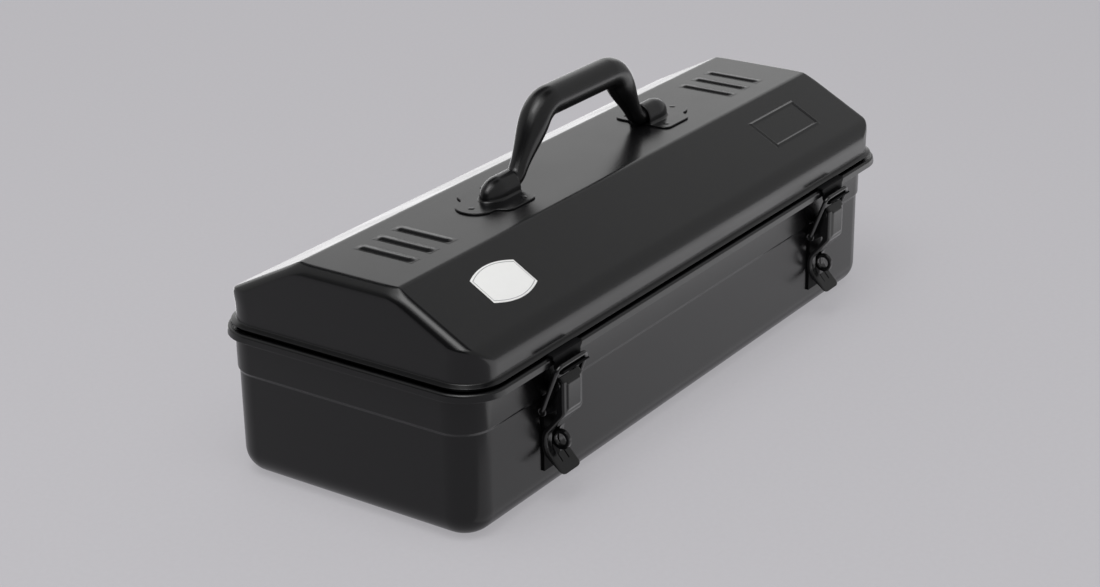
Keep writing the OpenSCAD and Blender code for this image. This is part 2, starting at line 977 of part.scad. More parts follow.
// Side view of one leg of a link, from the bar's eye to the pivot's eye.
module leg_outline() {
    lean = atan2(hook_z - link_z, hook_y - link_y);
    length = norm([hook_z - link_z, hook_y - link_y]);
    difference() {
        union() {
            translate([link_y, link_z])
                rotate(lean)
                    translate([0, -leg_w / 2])
                        square([length, leg_w]);
            translate([link_y, link_z])
                circle(leg_eye_r);
            translate([hook_y, hook_z])
                circle(bar_r);
        }
        translate([link_y, link_z])
            circle(link_pin_r);
    }
}

module latch_link(side) {
    color(steel_black)
        translate([side * latch_x, 0, 0]) {
            for (s = [-1, 1])
                along_x(leg_t, s * (leg_in + leg_t / 2))
                    leg_outline();
            translate([0, hook_y, hook_z])
                rod(2 * link_half, bar_r);
        }
}

module latch_link_left() {
    latch_link(-1);
}

module latch_link_right() {
    latch_link(1);
}

module link_pin(side) {
    color(steel_black)
        translate([side * latch_x, link_y, link_z])
            rod(2 * link_half, link_pin_r);
}

module link_pin_left() {
    link_pin(-1);
}

module link_pin_right() {
    link_pin(1);
}

// Side view of a keeper: root on the brim, drop in front of the rim, open hook.
module keeper_outline() {
    brim_z = rim_z + sheet;
    root_y = -lid_y - cut;
    drop_y = -rim_y - keeper_gap - keeper_t;
    translate([drop_y, brim_z])
        square([root_y - drop_y, keeper_t]);
    translate([drop_y, hook_z])
        square([keeper_t, brim_z + keeper_t - hook_z]);
    translate([hook_y, hook_z])
        difference() {
            circle(hook_r + keeper_t);
            circle(hook_r);
            translate([-deep, 0])
                square([2 * deep, deep]);
            translate([-deep, -lip_drop])
                square([deep, deep]);
        }
}

module latch_keeper(side) {
    color(steel_black)
        along_x(2 * keeper_half, side * latch_x)
            keeper_outline();
}

module latch_keeper_left() {
    latch_keeper(-1);
}

module latch_keeper_right() {
    latch_keeper(1);
}

base_tub();
lid_shell();
lid_label();
handle();
handle_bracket_left();
handle_bracket_right();
bracket_rivets();
hinge_base_leaf_left();
hinge_base_leaf_right();
hinge_lid_leaf_left();
hinge_lid_leaf_right();
hinge_pin_left();
hinge_pin_right();
hinge_rivets();
latch_plate_left();
latch_plate_right();
padlock_eye_left();
padlock_eye_right();
latch_lever_left();
latch_lever_right();
lever_pin_left();
lever_pin_right();
latch_link_left();
latch_link_right();
link_pin_left();
link_pin_right();
latch_keeper_left();
latch_keeper_right();
latch_rivets();
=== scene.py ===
"""Looks of a camber-top steel toolbox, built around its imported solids.

The pieces are pressed sheet, so most of them are lofts of round-cornered outlines or sweeps of a
side view. They are worked out in millimetres in the frame of the solids. The stage is in metres.
"""

import math

import bmesh
import bpy
from bpy.props import FloatProperty, FloatVectorProperty, PointerProperty
from mathutils import Matrix, Vector


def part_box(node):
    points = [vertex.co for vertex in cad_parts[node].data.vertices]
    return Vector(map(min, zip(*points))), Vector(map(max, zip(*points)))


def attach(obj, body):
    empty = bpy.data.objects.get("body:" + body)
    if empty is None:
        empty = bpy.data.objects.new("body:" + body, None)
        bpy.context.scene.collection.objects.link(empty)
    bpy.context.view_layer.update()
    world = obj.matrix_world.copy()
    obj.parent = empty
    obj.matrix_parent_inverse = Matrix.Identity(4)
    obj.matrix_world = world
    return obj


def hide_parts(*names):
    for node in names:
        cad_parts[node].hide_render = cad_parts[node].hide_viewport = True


bl_info = {
    "name": "Steel Toolbox",
    "version": (1, 0, 0),
    "blender": (4, 5, 0),
    "location": "View3D > Sidebar > Toolbox",
    "description": "Builds the painted sheet, fittings and stage of a camber-top steel toolbox",
    "category": "Object",
}

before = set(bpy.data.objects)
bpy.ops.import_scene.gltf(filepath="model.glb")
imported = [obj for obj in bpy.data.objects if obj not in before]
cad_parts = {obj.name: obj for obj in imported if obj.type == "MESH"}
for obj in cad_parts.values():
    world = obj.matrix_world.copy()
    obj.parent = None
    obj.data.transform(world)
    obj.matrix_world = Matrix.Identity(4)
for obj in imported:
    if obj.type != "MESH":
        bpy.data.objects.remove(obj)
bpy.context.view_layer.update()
MM = 0.001
SIDES = (("left", -1), ("right", 1))


def solid_box_mm(node):
    """Lowest and highest corner of a node, in millimetres."""
    low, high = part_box(node)
    return [v / MM for v in low], [v / MM for v in high]


def half_across(node):
    """Half the length of a node along X, in millimetres."""
    low, high = solid_box_mm(node)
    return (high[0] - low[0]) / 2


RIM_HIGH = solid_box_mm("base_tub")[1]
COLOUR = {"subtype": "COLOR", "size": 3, "min": 0.0, "max": 1.0}
PHOTO_WIDE = 1100
FOCAL_PIXELS = 2237.13
SENSOR = 36.0


class ToolboxSizes(bpy.types.PropertyGroup):
    """Sizes that shape the sheet and the latch wire, in metres."""

    rim_half_l: FloatProperty(
        name="Rim Half Length", description="Half length of the box over its rim",
        default=RIM_HIGH[0] * MM, min=0.1, unit="LENGTH")
    rim_half_w: FloatProperty(
        name="Rim Half Width", description="Half width of the box over its rim",
        default=RIM_HIGH[1] * MM, min=0.05, unit="LENGTH")
    rim_z: FloatProperty(
        name="Rim Height", description="Height of the rim above the floor",
        default=RIM_HIGH[2] * MM, min=0.05, unit="LENGTH")
    rim_r: FloatProperty(
        name="Rim Corner Radius", description="Radius of the rim's corners in plan",
        default=0.0235, min=0.005, unit="LENGTH")
    sheet: FloatProperty(
        name="Sheet Thickness", description="Thickness of the pressed sheet",
        default=0.001, min=0.0005, unit="LENGTH")
    step_soft: FloatProperty(
        name="Step Height", description="Height over which the wall steps in",
        default=0.0023, min=0.0005, unit="LENGTH")
    rim_round: FloatProperty(
        name="Rim Edge Radius", description="Radius of the bead along the rim",
        default=0.00145, min=0.0002, unit="LENGTH")
    wire_r: FloatProperty(
        name="Link Wire Radius", description="Radius of the wire of a latch link",
        default=0.00125, min=0.0005, unit="LENGTH")


class ToolboxFinish(bpy.types.PropertyGroup):
    """Colours of the finishes."""

    paint: FloatVectorProperty(
        name="Paint", description="Satin enamel of the tub and the lid",
        default=(0.0046, 0.0046, 0.005), **COLOUR)
    fittings: FloatVectorProperty(
        name="Fittings", description="Black of the handle, its brackets, the hinges and the latches",
        default=(0.0042, 0.0042, 0.0046), **COLOUR)
    plated: FloatVectorProperty(
        name="Plated Steel", description="Dull plating of the hinge pins",
        default=(0.15, 0.149, 0.147), **COLOUR)
    label: FloatVectorProperty(
        name="Label", description="Label stock", default=(0.86, 0.86, 0.85), **COLOUR)
    floor: FloatVectorProperty(
        name="Floor", description="Pale paper under the box", default=(0.525, 0.515, 0.54), **COLOUR)


class ToolboxStage(bpy.types.PropertyGroup):
    """Camera and light."""

    azimuth: FloatProperty(
        name="Azimuth", description="Turn of the camera about the box", subtype="ANGLE",
        default=math.radians(-55.24))
    elevation: FloatProperty(
        name="Elevation", description="Height of the camera above the horizon", subtype="ANGLE",
        default=math.radians(22.95))
    roll: FloatProperty(
        name="Roll", description="Roll of the camera", subtype="ANGLE", default=math.radians(-0.93))
    distance: FloatProperty(
        name="Distance", description="Distance of the camera from its target", default=1.23324,
        unit="LENGTH")
    shift: FloatVectorProperty(
        name="Aim", description="Sideways and upward aim of the camera off its target", size=2,
        default=(0.0159, 0.02378), unit="LENGTH")
    lens: FloatProperty(
        name="Lens", description="Focal length in millimetres on a 36 mm wide sensor",
        default=FOCAL_PIXELS / PHOTO_WIDE * SENSOR)
    shade: FloatProperty(
        name="Floor Shade", description="Share of the floor's tone that the light gives", default=0.34,
        min=0.0, max=1.0, subtype="FACTOR")
    sky: FloatProperty(
        name="Dome Light", description="Strength of the light from all round", default=0.52)
    key: FloatProperty(
        name="Top Panel", description="Power of the large panel above", default=14.0)
    rear: FloatProperty(
        name="Rear Panel", description="Power of the large panel behind", default=4.8)
    table: FloatProperty(
        name="Rear Fill", description="Power of the white table behind the box", default=11.4)
    fill: FloatProperty(
        name="Floor Fill", description="Power of the white table in front of the box", default=2.8)
    near: FloatProperty(
        name="Near Fill", description="Power of the strip of table at the foot of the box",
        default=0.08)
    box: FloatProperty(
        name="Soft Box", description="Power of the soft box that lights the edges", default=5.8)


def sizes():
    """Size settings in millimetres."""
    group = bpy.context.scene.toolbox_sizes
    return {name: getattr(group, name) / MM for name in ToolboxSizes.__annotations__}


def finish_colour(name):
    """Colour setting of a finish."""
    return tuple(getattr(bpy.context.scene.toolbox_finish, name))


# Finishes

NOISE_MIDDLE = (0.3, 0.7)
DUST_PALE = 0.03


def feed(tree, node, sources):
    """Links what feeds a node to its inputs."""
    for name, source in sources.items():
        tree.links.new(source, node.inputs[name])


def add_node(tree, kind, values=None, sources=None, operation=None):
    """Adds a node, sets its inputs and links what feeds them."""
    node = tree.nodes.new(kind)
    if operation:
        node.operation = operation
    for name, value in (values or {}).items():
        node.inputs[name].default_value = value
    feed(tree, node, sources or {})
    return node


def combined(tree, operation, first, second):
    """Two values put together by a Math node."""
    return add_node(tree, "ShaderNodeMath", None, {0: first, 1: second}, operation).outputs["Value"]


def mapped(tree, source, given, wanted=(0.0, 1.0), way="LINEAR"):
    """Maps one range of a value on to another."""
    limits = dict(zip(("From Min", "From Max", "To Min", "To Max"), (*given, *wanted)))
    node = add_node(tree, "ShaderNodeMapRange", limits, {"Value": source})
    node.interpolation_type = way
    return node.outputs["Result"]


def tinted(tree, mask, ground, over):
    """Colour that goes from ground to over with a mask."""
    node = tree.nodes.new("ShaderNodeMix")
    node.data_type = "RGBA"
    node.inputs["A"].default_value = (*ground, 1.0)
    node.inputs["B"].default_value = (*over, 1.0)
    tree.links.new(mask, node.inputs["Factor"])
    return node.outputs["Result"]


def bumped(tree, height, distance, strength):
    """Normal raised by a height."""
    values = {"Distance": distance, "Strength": strength}
    return add_node(tree, "ShaderNodeBump", values, {"Height": height}).outputs["Normal"]


def new_group(name, inputs, outputs):
    """Empty node group with named values in and out, and its two end nodes."""
    tree = bpy.data.node_groups.new(name, "ShaderNodeTree")
    kind = "NodeSocketFloat"
    for socket, value in inputs.items():
        made = tree.interface.new_socket(name=socket, in_out="INPUT", socket_type=kind)
        made.default_value = value
    for socket in outputs:
        tree.interface.new_socket(name=socket, in_out="OUTPUT", socket_type=kind)
    return tree, tree.nodes.new("NodeGroupInput"), tree.nodes.new("NodeGroupOutput")


def grain_group():
    """Spray grain: a height, and a patchy value that drifts across the sheet."""
    name = "Spray Grain"
    if name in bpy.data.node_groups:
        return bpy.data.node_groups[name]
    inputs = {"Grain Scale": 900.0, "Drift Scale": 18.0}
    tree, given, made = new_group(name, inputs, ("Height", "Drift"))
    place = add_node(tree, "ShaderNodeTexCoord").outputs["Object"]
    noises = (("Grain Scale", "Height", 2.0, 0.55), ("Drift Scale", "Drift", 4.0, 0.6))
    for scale, result, detail, rough in noises:
        noise = add_node(tree, "ShaderNodeTexNoise", {"Detail": detail, "Roughness": rough},
                         {"Vector": place, "Scale": given.outputs[scale]})
        tree.links.new(noise.outputs["Fac"], made.inputs[result])
    return tree


def dust_group():
    """Fine dust: a mask that settles in specks on faces that look up."""
    name = "Fine Dust"
    if name in bpy.data.node_groups:
        return bpy.data.node_groups[name]
    tree, given, made = new_group(name, {"Amount": 0.2, "Speck Scale": 420.0}, ("Mask",))
    place = add_node(tree, "ShaderNodeTexCoord").outputs["Object"]
    speck = add_node(tree, "ShaderNodeTexNoise", {"Detail": 3.0},
                     {"Vector": place, "Scale": given.outputs["Speck Scale"]})
    normal = add_node(tree, "ShaderNodeNewGeometry").outputs["Normal"]
    split = add_node(tree, "ShaderNodeSeparateXYZ", None, {"Vector": normal})
    sharp = mapped(tree, speck.outputs["Fac"], (0.56, 0.74))
    upward = mapped(tree, split.outputs["Z"], (0.3, 1.0))
    mask = combined(tree, "MULTIPLY", sharp, upward)
    mask = combined(tree, "MULTIPLY", mask, given.outputs["Amount"])
    tree.links.new(mask, made.inputs["Mask"])
    return tree


def placed(tree, group, values):
    """Places a node group in a material with its own values and gives its outputs."""
    node = tree.nodes.new("ShaderNodeGroup")
    node.node_tree = group
    for name, value in values.items():
        node.inputs[name].default_value = value
    return node.outputs


def blank_material(name, values):
    """A material with nothing but its output and a Principled shader with some values set."""
    material = bpy.data.materials.new(name)
    material.use_nodes = True
    tree = material.node_tree
    tree.nodes.clear()
    out = tree.nodes.new("ShaderNodeOutputMaterial")
    shader = add_node(tree, "ShaderNodeBsdfPrincipled", values)
    tree.links.new(shader.outputs["BSDF"], out.inputs["Surface"])
    return material, tree, shader


def coated_steel(name, colour, rough, grain, relief, dust, specular=0.5):
    """Black enamel on steel: spray grain, drifting gloss and a trace of dust."""
    if name in bpy.data.materials:
        return bpy.data.materials[name]
    material, tree, shader = blank_material(name, {"IOR": 1.42, "Specular IOR Level": specular})
    spray = placed(tree, grain_group(), {"Grain Scale": grain})
    specks = placed(tree, dust_group(), {"Amount": dust})
    pale = [c + DUST_PALE for c in colour]
    feed(tree, shader, {"Base Color": tinted(tree, specks["Mask"], colour, pale),
                        "Roughness": mapped(tree, spray["Drift"], NOISE_MIDDLE, rough),
                        "Normal": bumped(tree, spray["Height"], 0.0002, relief)})
    return material


def paint():
    """Satin enamel of tub and lid."""
    return coated_steel("Satin Enamel", finish_colour("paint"), rough=(0.2, 0.26), grain=1400.0,
                        relief=0.06, dust=0.12)


def fittings():
    """Semi-gloss black of handle, brackets, hinges and levers."""
    return coated_steel("Fitting Black", finish_colour("fittings"), rough=(0.2, 0.27), grain=1800.0,
                        relief=0.08, dust=0.08)


def dull_black():
    """Dull black of the keepers, the latch plates and their rivets."""
    return coated_steel("Dull Black", finish_colour("fittings"), rough=(0.42, 0.52), grain=1800.0,
                        relief=0.08, dust=0.05, specular=0.06)


def wire_black():
    """Bright black of the links' wire and pins."""
    return coated_steel("Wire Black", finish_colour("fittings"), rough=(0.2, 0.28), grain=2200.0,
                        relief=0.06, dust=0.05, specular=0.75)


def flecked(name, colour, aged, rough, grain, drift, depth, metallic=0.0):
    """Finish whose colour and gloss drift in small patches, with a fine relief."""
    if name in bpy.data.materials:
        return bpy.data.materials[name]
    material, tree, shader = blank_material(name, {"Metallic": metallic})
    spray = placed(tree, grain_group(), {"Grain Scale": grain, "Drift Scale": drift})
    patch = [c * aged for c in colour]
    feed(tree, shader, {"Base Color": tinted(tree, spray["Drift"], colour, patch),
                        "Roughness": mapped(tree, spray["Drift"], NOISE_MIDDLE, rough),
                        "Normal": bumped(tree, spray["Height"], depth, 0.1)})
    return material


def plated():
    """Dull plating of the hinge pins."""
    return flecked("Dull Plating", finish_colour("plated"), aged=0.72, rough=(0.3, 0.46), grain=2600.0,
                   drift=160.0, depth=0.0002, metallic=1.0)


def label_stock():
    """Matt white label with a faint fibre."""
    return flecked("Label Stock", finish_colour("label"), aged=0.96, rough=(0.42, 0.52), grain=3200.0,
                   drift=220.0, depth=0.0001)


def label_ink():
    """Grey print of the label's border line."""
    name = "Label Ink"
    if name in bpy.data.materials:
        return bpy.data.materials[name]
    material, tree, shader = blank_material(name, {"Roughness": 0.5})
    spray = placed(tree, grain_group(), {"Grain Scale": 3200.0})
    ink = tinted(tree, spray["Drift"], (0.3, 0.3, 0.31), (0.36, 0.36, 0.37))
    tree.links.new(ink, shader.inputs["Base Color"])
    return material


# Shapes

CORNERS = ((1, 1), (-1, 1), (-1, -1), (1, -1))
CORNER_STEPS = 10
STRETCHES = (12, 6)
WELD = 1e-7


def clamp(value):
    """Value held between 0 and 1."""
    return max(0.0, min(1.0, value))


def smooth(t):
    """Soft step from 0 to 1."""
    return t * t * (3 - 2 * t)


def ramp(value, low, high):
    """Soft step that is 0 below low and 1 above high."""
    return smooth(clamp((value - low) / (high - low)))


def bump(d, reach):
    """Soft pressed form, 1 in the middle and 0 from reach on."""
    u = min(1.0, abs(d) / reach)
    return (1 - u * u) ** 2


def arc(step, count):
    """Sine and cosine of count angles, so many degrees apart, from 0."""
    turns = [math.radians(step * i) for i in range(count)]
    return [(math.sin(a), math.cos(a)) for a in turns]


def around(count):
    """Cosine and sine of count angles evenly round a full turn."""
    turns = [2 * math.pi * i / count for i in range(count)]
    return [(math.cos(a), math.sin(a)) for a in turns]


def ring(hx, hy, cy, rx, ry, z):
    """Round-cornered rectangle at a height, counterclockwise from the +X side."""
    arcs = []
    for k, (sx, sy) in enumerate(CORNERS):
        turns = [math.radians(90 * k + 90 * i / CORNER_STEPS) for i in range(CORNER_STEPS + 1)]
        arcs.append([(sx * (hx - rx) + rx * math.cos(a), cy + sy * (hy - ry) + ry * math.sin(a), z)
                     for a in turns])
    points = []
    for k, corner in enumerate(arcs):
        points += corner
        a, b = corner[-1], arcs[(k + 1) % 4][0]
        count = STRETCHES[k % 2]
        points += [tuple(a[m] + (b[m] - a[m]) * j / count for m in range(3)) for j in range(1, count)]
    return points


def plan_ring(plan, inset, z):
    """Ring of a plan (half length, half width, middle, corner radius), set in by some distance."""
    hx, hy, cy, r = plan
    rr = max(r - inset, 0.3)
    return ring(hx - inset, hy - inset, cy, rr, rr, z)


def between(p, q, t):
    """Mix of two plans."""
    return tuple(a + (b - a) * t for a, b in zip(p, q))


def loft(rings, first_cap=True, last_cap=True):
    """Points and faces of a skin over closed rings of equal count."""
    n = len(rings[0])
    points = [p for r in rings for p in r]
    faces = []
    for k in range(len(rings) - 1):
        a, b = k * n, (k + 1) * n
        faces += [(a + i, a + (i + 1) % n, b + (i + 1) % n, b + i) for i in range(n)]
    if first_cap:
        faces.append(tuple(range(n - 1, -1, -1)))
    if last_cap:
        faces.append(tuple(range((len(rings) - 1) * n, len(rings) * n)))
    return points, faces


def grid_skin(rows):
    """Points and faces of an open sheet given row by row."""
    n = len(rows[0])
    points = [p for row in rows for p in row]
    faces = [(k * n + i, k * n + i + 1, (k + 1) * n + i + 1, (k + 1) * n + i)
             for k in range(len(rows) - 1) for i in range(n - 1)]
    return points, faces


def thick_skin(rows, thickness, hole=None):
    """Closed sheet from rows of points: the far side is pushed in along the sheet's normal."""
    n, m = len(rows[0]), len(rows)
    grid = [[Vector(p) for p in row] for row in rows]
    far = []
    for k in range(m):
        for i in range(n):
            u = grid[k][min(i + 1, n - 1)] - grid[k][max(i - 1, 0)]
            v = grid[min(k + 1, m - 1)][i] - grid[max(k - 1, 0)][i]
            far.append(grid[k][i] + u.cross(v).normalized() * thickness)
    points = [tuple(p) for row in grid for p in row] + [tuple(p) for p in far]
    base = n * m
    kept = set()
    for k in range(m - 1):
        for i in range(n - 1):
            middle = (grid[k][i] + grid[k + 1][i + 1]) / 2
            if hole is None or not hole(middle):
                kept.add((k, i))
    faces = []
    for k, i in sorted(kept):
        a, b, c, d = k * n + i, k * n + i + 1, (k + 1) * n + i + 1, (k + 1) * n + i
        faces.append((a, b, c, d))
        faces.append((base + d, base + c, base + b, base + a))
        sides = (((k - 1, i), b, a), ((k + 1, i), d, c), ((k, i - 1), a, d), ((k, i + 1), c, b))
        faces += [(p, q, base + q, base + p) for near, p, q in sides if near not in kept]
    return points, faces


def round_path(points, radii, steps=8):
    """Flat path with its inner corners rounded; radii are those of the inner corners."""
    path = [Vector(points[0])]
    for p0, p1, p2, r in zip(points, points[1:], points[2:], radii):
        p0, p1, p2 = Vector(p0), Vector(p1), Vector(p2)
        u, v = (p0 - p1).normalized(), (p2 - p1).normalized()
        half = math.acos(max(-1.0, min(1.0, u.dot(v)))) / 2
        run = min(r / math.tan(half), 0.49 * (p0 - p1).length, 0.49 * (p2 - p1).length)
        r = run * math.tan(half)
        centre = p1 + (u + v).normalized() * (r / math.sin(half))
        a, b = p1 + u * run - centre, p1 + v * run - centre
        turn = math.atan2(a.x * b.y - a.y * b.x, a.dot(b))
        for i in range(steps + 1):
            c, s = math.cos(turn * i / steps), math.sin(turn * i / steps)
            path.append(centre + Vector((a.x * c - a.y * s, a.x * s + a.y * c)))
    path.append(Vector(points[-1]))
    return path


def even_path(path, pitch):
    """Adds points to a flat path so that no stretch is longer than pitch."""
    out = [path[0]]
    for a, b in zip(path, path[1:]):
        count = max(1, math.ceil((b - a).length / pitch))
        out += [a + (b - a) * (i / count) for i in range(1, count + 1)]
    return out


def heading(path, i):
    """Direction of a path at one of its points."""
    return (path[min(i + 1, len(path) - 1)] - path[max(i - 1, 0)]).normalized()


def outer_hull(points):
    """Convex outline round flat points, counterclockwise."""
    def turn(o, a, b):
        return (a[0] - o[0]) * (b[1] - o[1]) - (a[1] - o[1]) * (b[0] - o[0])

    chains = []
    for run in (sorted(points), sorted(points, reverse=True)):
        chain = []
        for p in run:
            while len(chain) > 1 and turn(chain[-2], chain[-1], p) <= 0:
                chain.pop()
            chain.append(p)
        chains += chain[:-1]
    return chains


def joined(*parts):
    """Several point and face lists as one."""
    points, faces = [], []
    for p, f in parts:
        faces += [tuple(i + len(points) for i in face) for face in f]
        points += p
    return points, faces


def moved(part, dx=0.0, dy=0.0, dz=0.0, flip=1):
    """A part shifted, and mirrored along X when flip is -1."""
    points, faces = part
    points = [(p[0] * flip + dx, p[1] + dy, p[2] + dz) for p in points]
    if flip < 0:
        faces = [tuple(reversed(f)) for f in faces]
    return points, faces


def make(name, part, material, body, nodes=()):
    """Turns points and faces into a piece that rides on a body and stands for its nodes."""
    points, faces = part
    mesh = bpy.data.meshes.new(name)
    mesh.from_pydata([Vector(p) * MM for p in points], [], faces)
    work = bmesh.new()
    work.from_mesh(mesh)
    bmesh.ops.remove_doubles(work, verts=work.verts, dist=WELD)
    bmesh.ops.dissolve_degenerate(work, edges=work.edges, dist=WELD)
    bmesh.ops.recalc_face_normals(work, faces=work.faces)
    for face in work.faces:
        face.smooth = True
    work.to_mesh(mesh)
    work.free()
    mesh.materials.append(material)
    piece = bpy.data.objects.new(name, mesh)
    bpy.context.scene.collection.objects.link(piece)
    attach(piece, body)
    if nodes:
        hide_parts(*nodes)
    return piece


def fitting(name, part, body, nodes=(), finish=fittings):
    """Makes a piece in one of the blacks of the fittings."""
    return make(name, part, finish(), body, nodes)


def soften(piece, width, angle=32):
    """Rounds the sharp edges of a piece and evens its shading."""
    bevel = piece.modifiers.new("Edges", "BEVEL")
    bevel.width = width * MM
    bevel.segments = 2
    bevel.limit_method = "ANGLE"
    bevel.angle_limit = math.radians(angle)
    bevel.use_clamp_overlap = True
    bevel.harden_normals = False
    shade(piece)


def shade(piece):
    """Evens the shading so that flat faces read as flat."""
    even = piece.modifiers.new("Shading", "WEIGHTED_NORMAL")
    even.keep_sharp = True
    even.weight = 60


# Tub and lid

STEP_Z = 57.8
BOTTOM_R = 13.5
SKIRT_H = 7.0
SKIRT_LEAN = 0.3
SKIRT_R = 1.6
UNDER_R = 0.9
RIM_DROP = 2.75
GROOVE_DROP = 4.2
GROOVE_R = 0.8
# Plans: half length, half width, middle and corner radius
WALL = (202.0, 76.25, 2.75, 17.0)
BAND = (203.0, 77.25, 2.75, 18.0)
FLOOR_INSETS = (1.5, 6)
WALL_LEVELS = (16, 28, 40, 50)
BAND_LEVELS = (62, 70, 76)
BAND_LEVELS_INSIDE = (78, 70, 62)
LID_HALF_L = 203.0
LID_HALF_W = 78.6
LID_CORNER_R = 18.0
LID_PLAN = (LID_HALF_L, LID_HALF_W, 0.0, LID_CORNER_R)
FLARE_R = 0.8
FLARE_TOP = 86.16
FLARE_TURN = math.radians(70)
FLARE_RUN = 2.25
LID_FOOT = 81.65
SLOPE_FOOT = 99.68
LID_TOP = 125.0
TOP_HALF = 31.3
BEND_R = 13.0
RIDGE_R = 6.0
REAR_SET = 1.8
END_R = 6.0
SLOPE = math.atan((LID_TOP - SLOPE_FOOT) / (LID_HALF_W - TOP_HALF))
SLOPE_LEVELS = (0.15, 0.3, 0.45, 0.58, 0.66, 0.72, 0.78, 0.84, 0.9, 0.95)
# Inset and corner radius of the rings on the flat top
TOP_RINGS = ((1, 8), (6, 4))


def tub_rings(size):
    """Rings of the tub from its underside, round the rim's skirt and bead and down to its floor."""
    t, z_rim = size["sheet"], size["rim_z"]
    soft, roll = size["step_soft"], size["rim_round"]
    rim = (size["rim_half_l"], size["rim_half_w"], 0.0, size["rim_r"])
    z_top, z_groove = z_rim - RIM_DROP, z_rim - GROOVE_DROP
    z_under, low = z_groove - t, z_rim - SKIRT_H + t / 2
    inner_r = BOTTOM_R - t
    quarter, bottom = arc(22.5, 5), arc(7.5, 13)
    step = [(between(WALL, BAND, smooth(i / 10)), STEP_Z + soft * (i / 10 - 0.5)) for i in range(11)]
    levels = [(WALL, BOTTOM_R + d, 0.0) for d in reversed(FLOOR_INSETS)]
    levels += [(WALL, BOTTOM_R * (1 - s), BOTTOM_R * (1 - c)) for s, c in bottom]
    levels += [(WALL, 0, z) for z in WALL_LEVELS]
    levels += [(plan, 0, z) for plan, z in step]
    levels += [(BAND, 0, z) for z in (*BAND_LEVELS, z_under - UNDER_R)]
    levels += [(BAND, -UNDER_R * (1 - c), z_under - UNDER_R * (1 - s)) for s, c in quarter[1:]]
    levels += [(rim, t + SKIRT_R * (1 - s), z_under - SKIRT_R * (1 - c)) for s, c in quarter]
    levels += [(rim, t / 2 * (1 + c), low - t / 2 * s) for s, c in arc(22.5, 9)]
    levels += [(rim, SKIRT_LEAN * k, low + (z_top - roll - low) * k) for k in (0.3, 0.7)]
    levels += [(rim, SKIRT_LEAN + roll * (1 - c), z_top - roll * (1 - s)) for s, c in arc(11, 16)]
    levels += [(BAND, t - GROOVE_R * (1 - s), z_groove - GROOVE_R * (1 - c)) for s, c in quarter]
    levels += [(BAND, t, z) for z in BAND_LEVELS_INSIDE]
    levels += [(plan, t, z + t) for plan, z in reversed(step)]
    levels += [(WALL, t, z) for z in reversed(WALL_LEVELS)]
    levels += [(WALL, t + inner_r * (1 - s), t + inner_r * (1 - c)) for s, c in reversed(bottom)]
    levels += [(WALL, BOTTOM_R + d, t) for d in FLOOR_INSETS]
    return [plan_ring(*level) for level in levels]


def lid_profile(t):
    """Half width and height of the lid's section, t inside its outer face, with its bend share."""
    hy = LID_HALF_W - t
    z1 = SLOPE_FOOT + t * math.tan(SLOPE) - t / math.cos(SLOPE)
    z2 = LID_TOP - t
    yt = hy - (z2 - z1) / math.tan(SLOPE)
    rb, rr = BEND_R - t, RIDGE_R - t
    open_turn = math.pi / 2 - SLOPE
    tb, tr = rb * math.tan(open_turn / 2), rr * math.tan(SLOPE / 2)
    rows = []
    for i in range(15):
        a = open_turn * i / 14
        rows.append((hy - rb + rb * math.cos(a), z1 - tb + rb * math.sin(a), i / 14))
    ridge = []
    for i in range(8):
        a = open_turn + SLOPE * i / 7
        ridge.append((yt - tr + rr * math.cos(a), z2 - rr + rr * math.sin(a), 1.0))
    rows += [between(rows[-1], ridge[0], k) for k in SLOPE_LEVELS]
    return rows + ridge


def lid_ring(y, z, share, t):
    """One level of the lid: round in plan at the wall, oval at the slope, its rear set forward."""
    end_r, wall_r = END_R - t, LID_CORNER_R - t
    hx = LID_HALF_L - t
    z2 = LID_TOP - t
    rise = clamp((z - (z2 - end_r)) / end_r)
    hx_z = hx - end_r + end_r * math.sqrt(max(0.0, 1 - rise * rise))
    mix = smooth(share)
    rx = wall_r + (end_r - wall_r) * mix
    ry = wall_r + (end_r / math.sin(SLOPE) - wall_r) * mix
    rx = max(0.05, min(rx, hx_z - (hx - end_r) if rise > 0 else rx))
    shift = REAR_SET / 2 * clamp((z - SLOPE_FOOT) / (z2 - SLOPE_FOOT))
    return ring(hx_z, y - shift, -shift, rx, ry, z)


def lid_skin(t):
    """Rings of a face of the lid, t inside its outer face, from the bend up and on to the flat top."""
    rows = lid_profile(t)
    rings = [lid_ring(y, z, share, t) for y, z, share in rows]
    shift = REAR_SET / 2
    for inset, ry in TOP_RINGS:
        hx, hy = LID_HALF_L - END_R - inset, rows[-1][0] - inset - shift
        rings.append(ring(hx, hy, -shift, 0.3, ry, LID_TOP - t))
    return rings


def lid_rings(t):
    """Rings of the lid from its inside top, down to its foot, round the flare and up to the top."""
    reach = FLARE_R * (1 - math.cos(FLARE_TURN)) + FLARE_RUN * math.sin(FLARE_TURN)
    z_edge = FLARE_TOP - FLARE_R * math.sin(FLARE_TURN) - FLARE_RUN * math.cos(FLARE_TURN)
    levels = [(t, LID_FOOT + 2)]
    levels += [(t / 2 * (1 + c), LID_FOOT + t / 2 * (1 - s)) for s, c in arc(30, 7)]
    levels += [(0.0, z_edge - 1.5), (-0.3, z_edge - 1.1)]
    lip = ((0.15, 0.55), (-0.08, 0.38), (-0.12, 0.18), (0.0, 0.0))
    levels += [(d - reach, z_edge - drop) for d, drop in lip]
    for i in range(9):
        a = FLARE_TURN * (1 - i / 8)
        levels.append((-FLARE_R * (1 - math.cos(a)), FLARE_TOP - FLARE_R * math.sin(a)))
    return lid_skin(t)[::-1] + [plan_ring(LID_PLAN, d, z) for d, z in levels] + lid_skin(0.0)


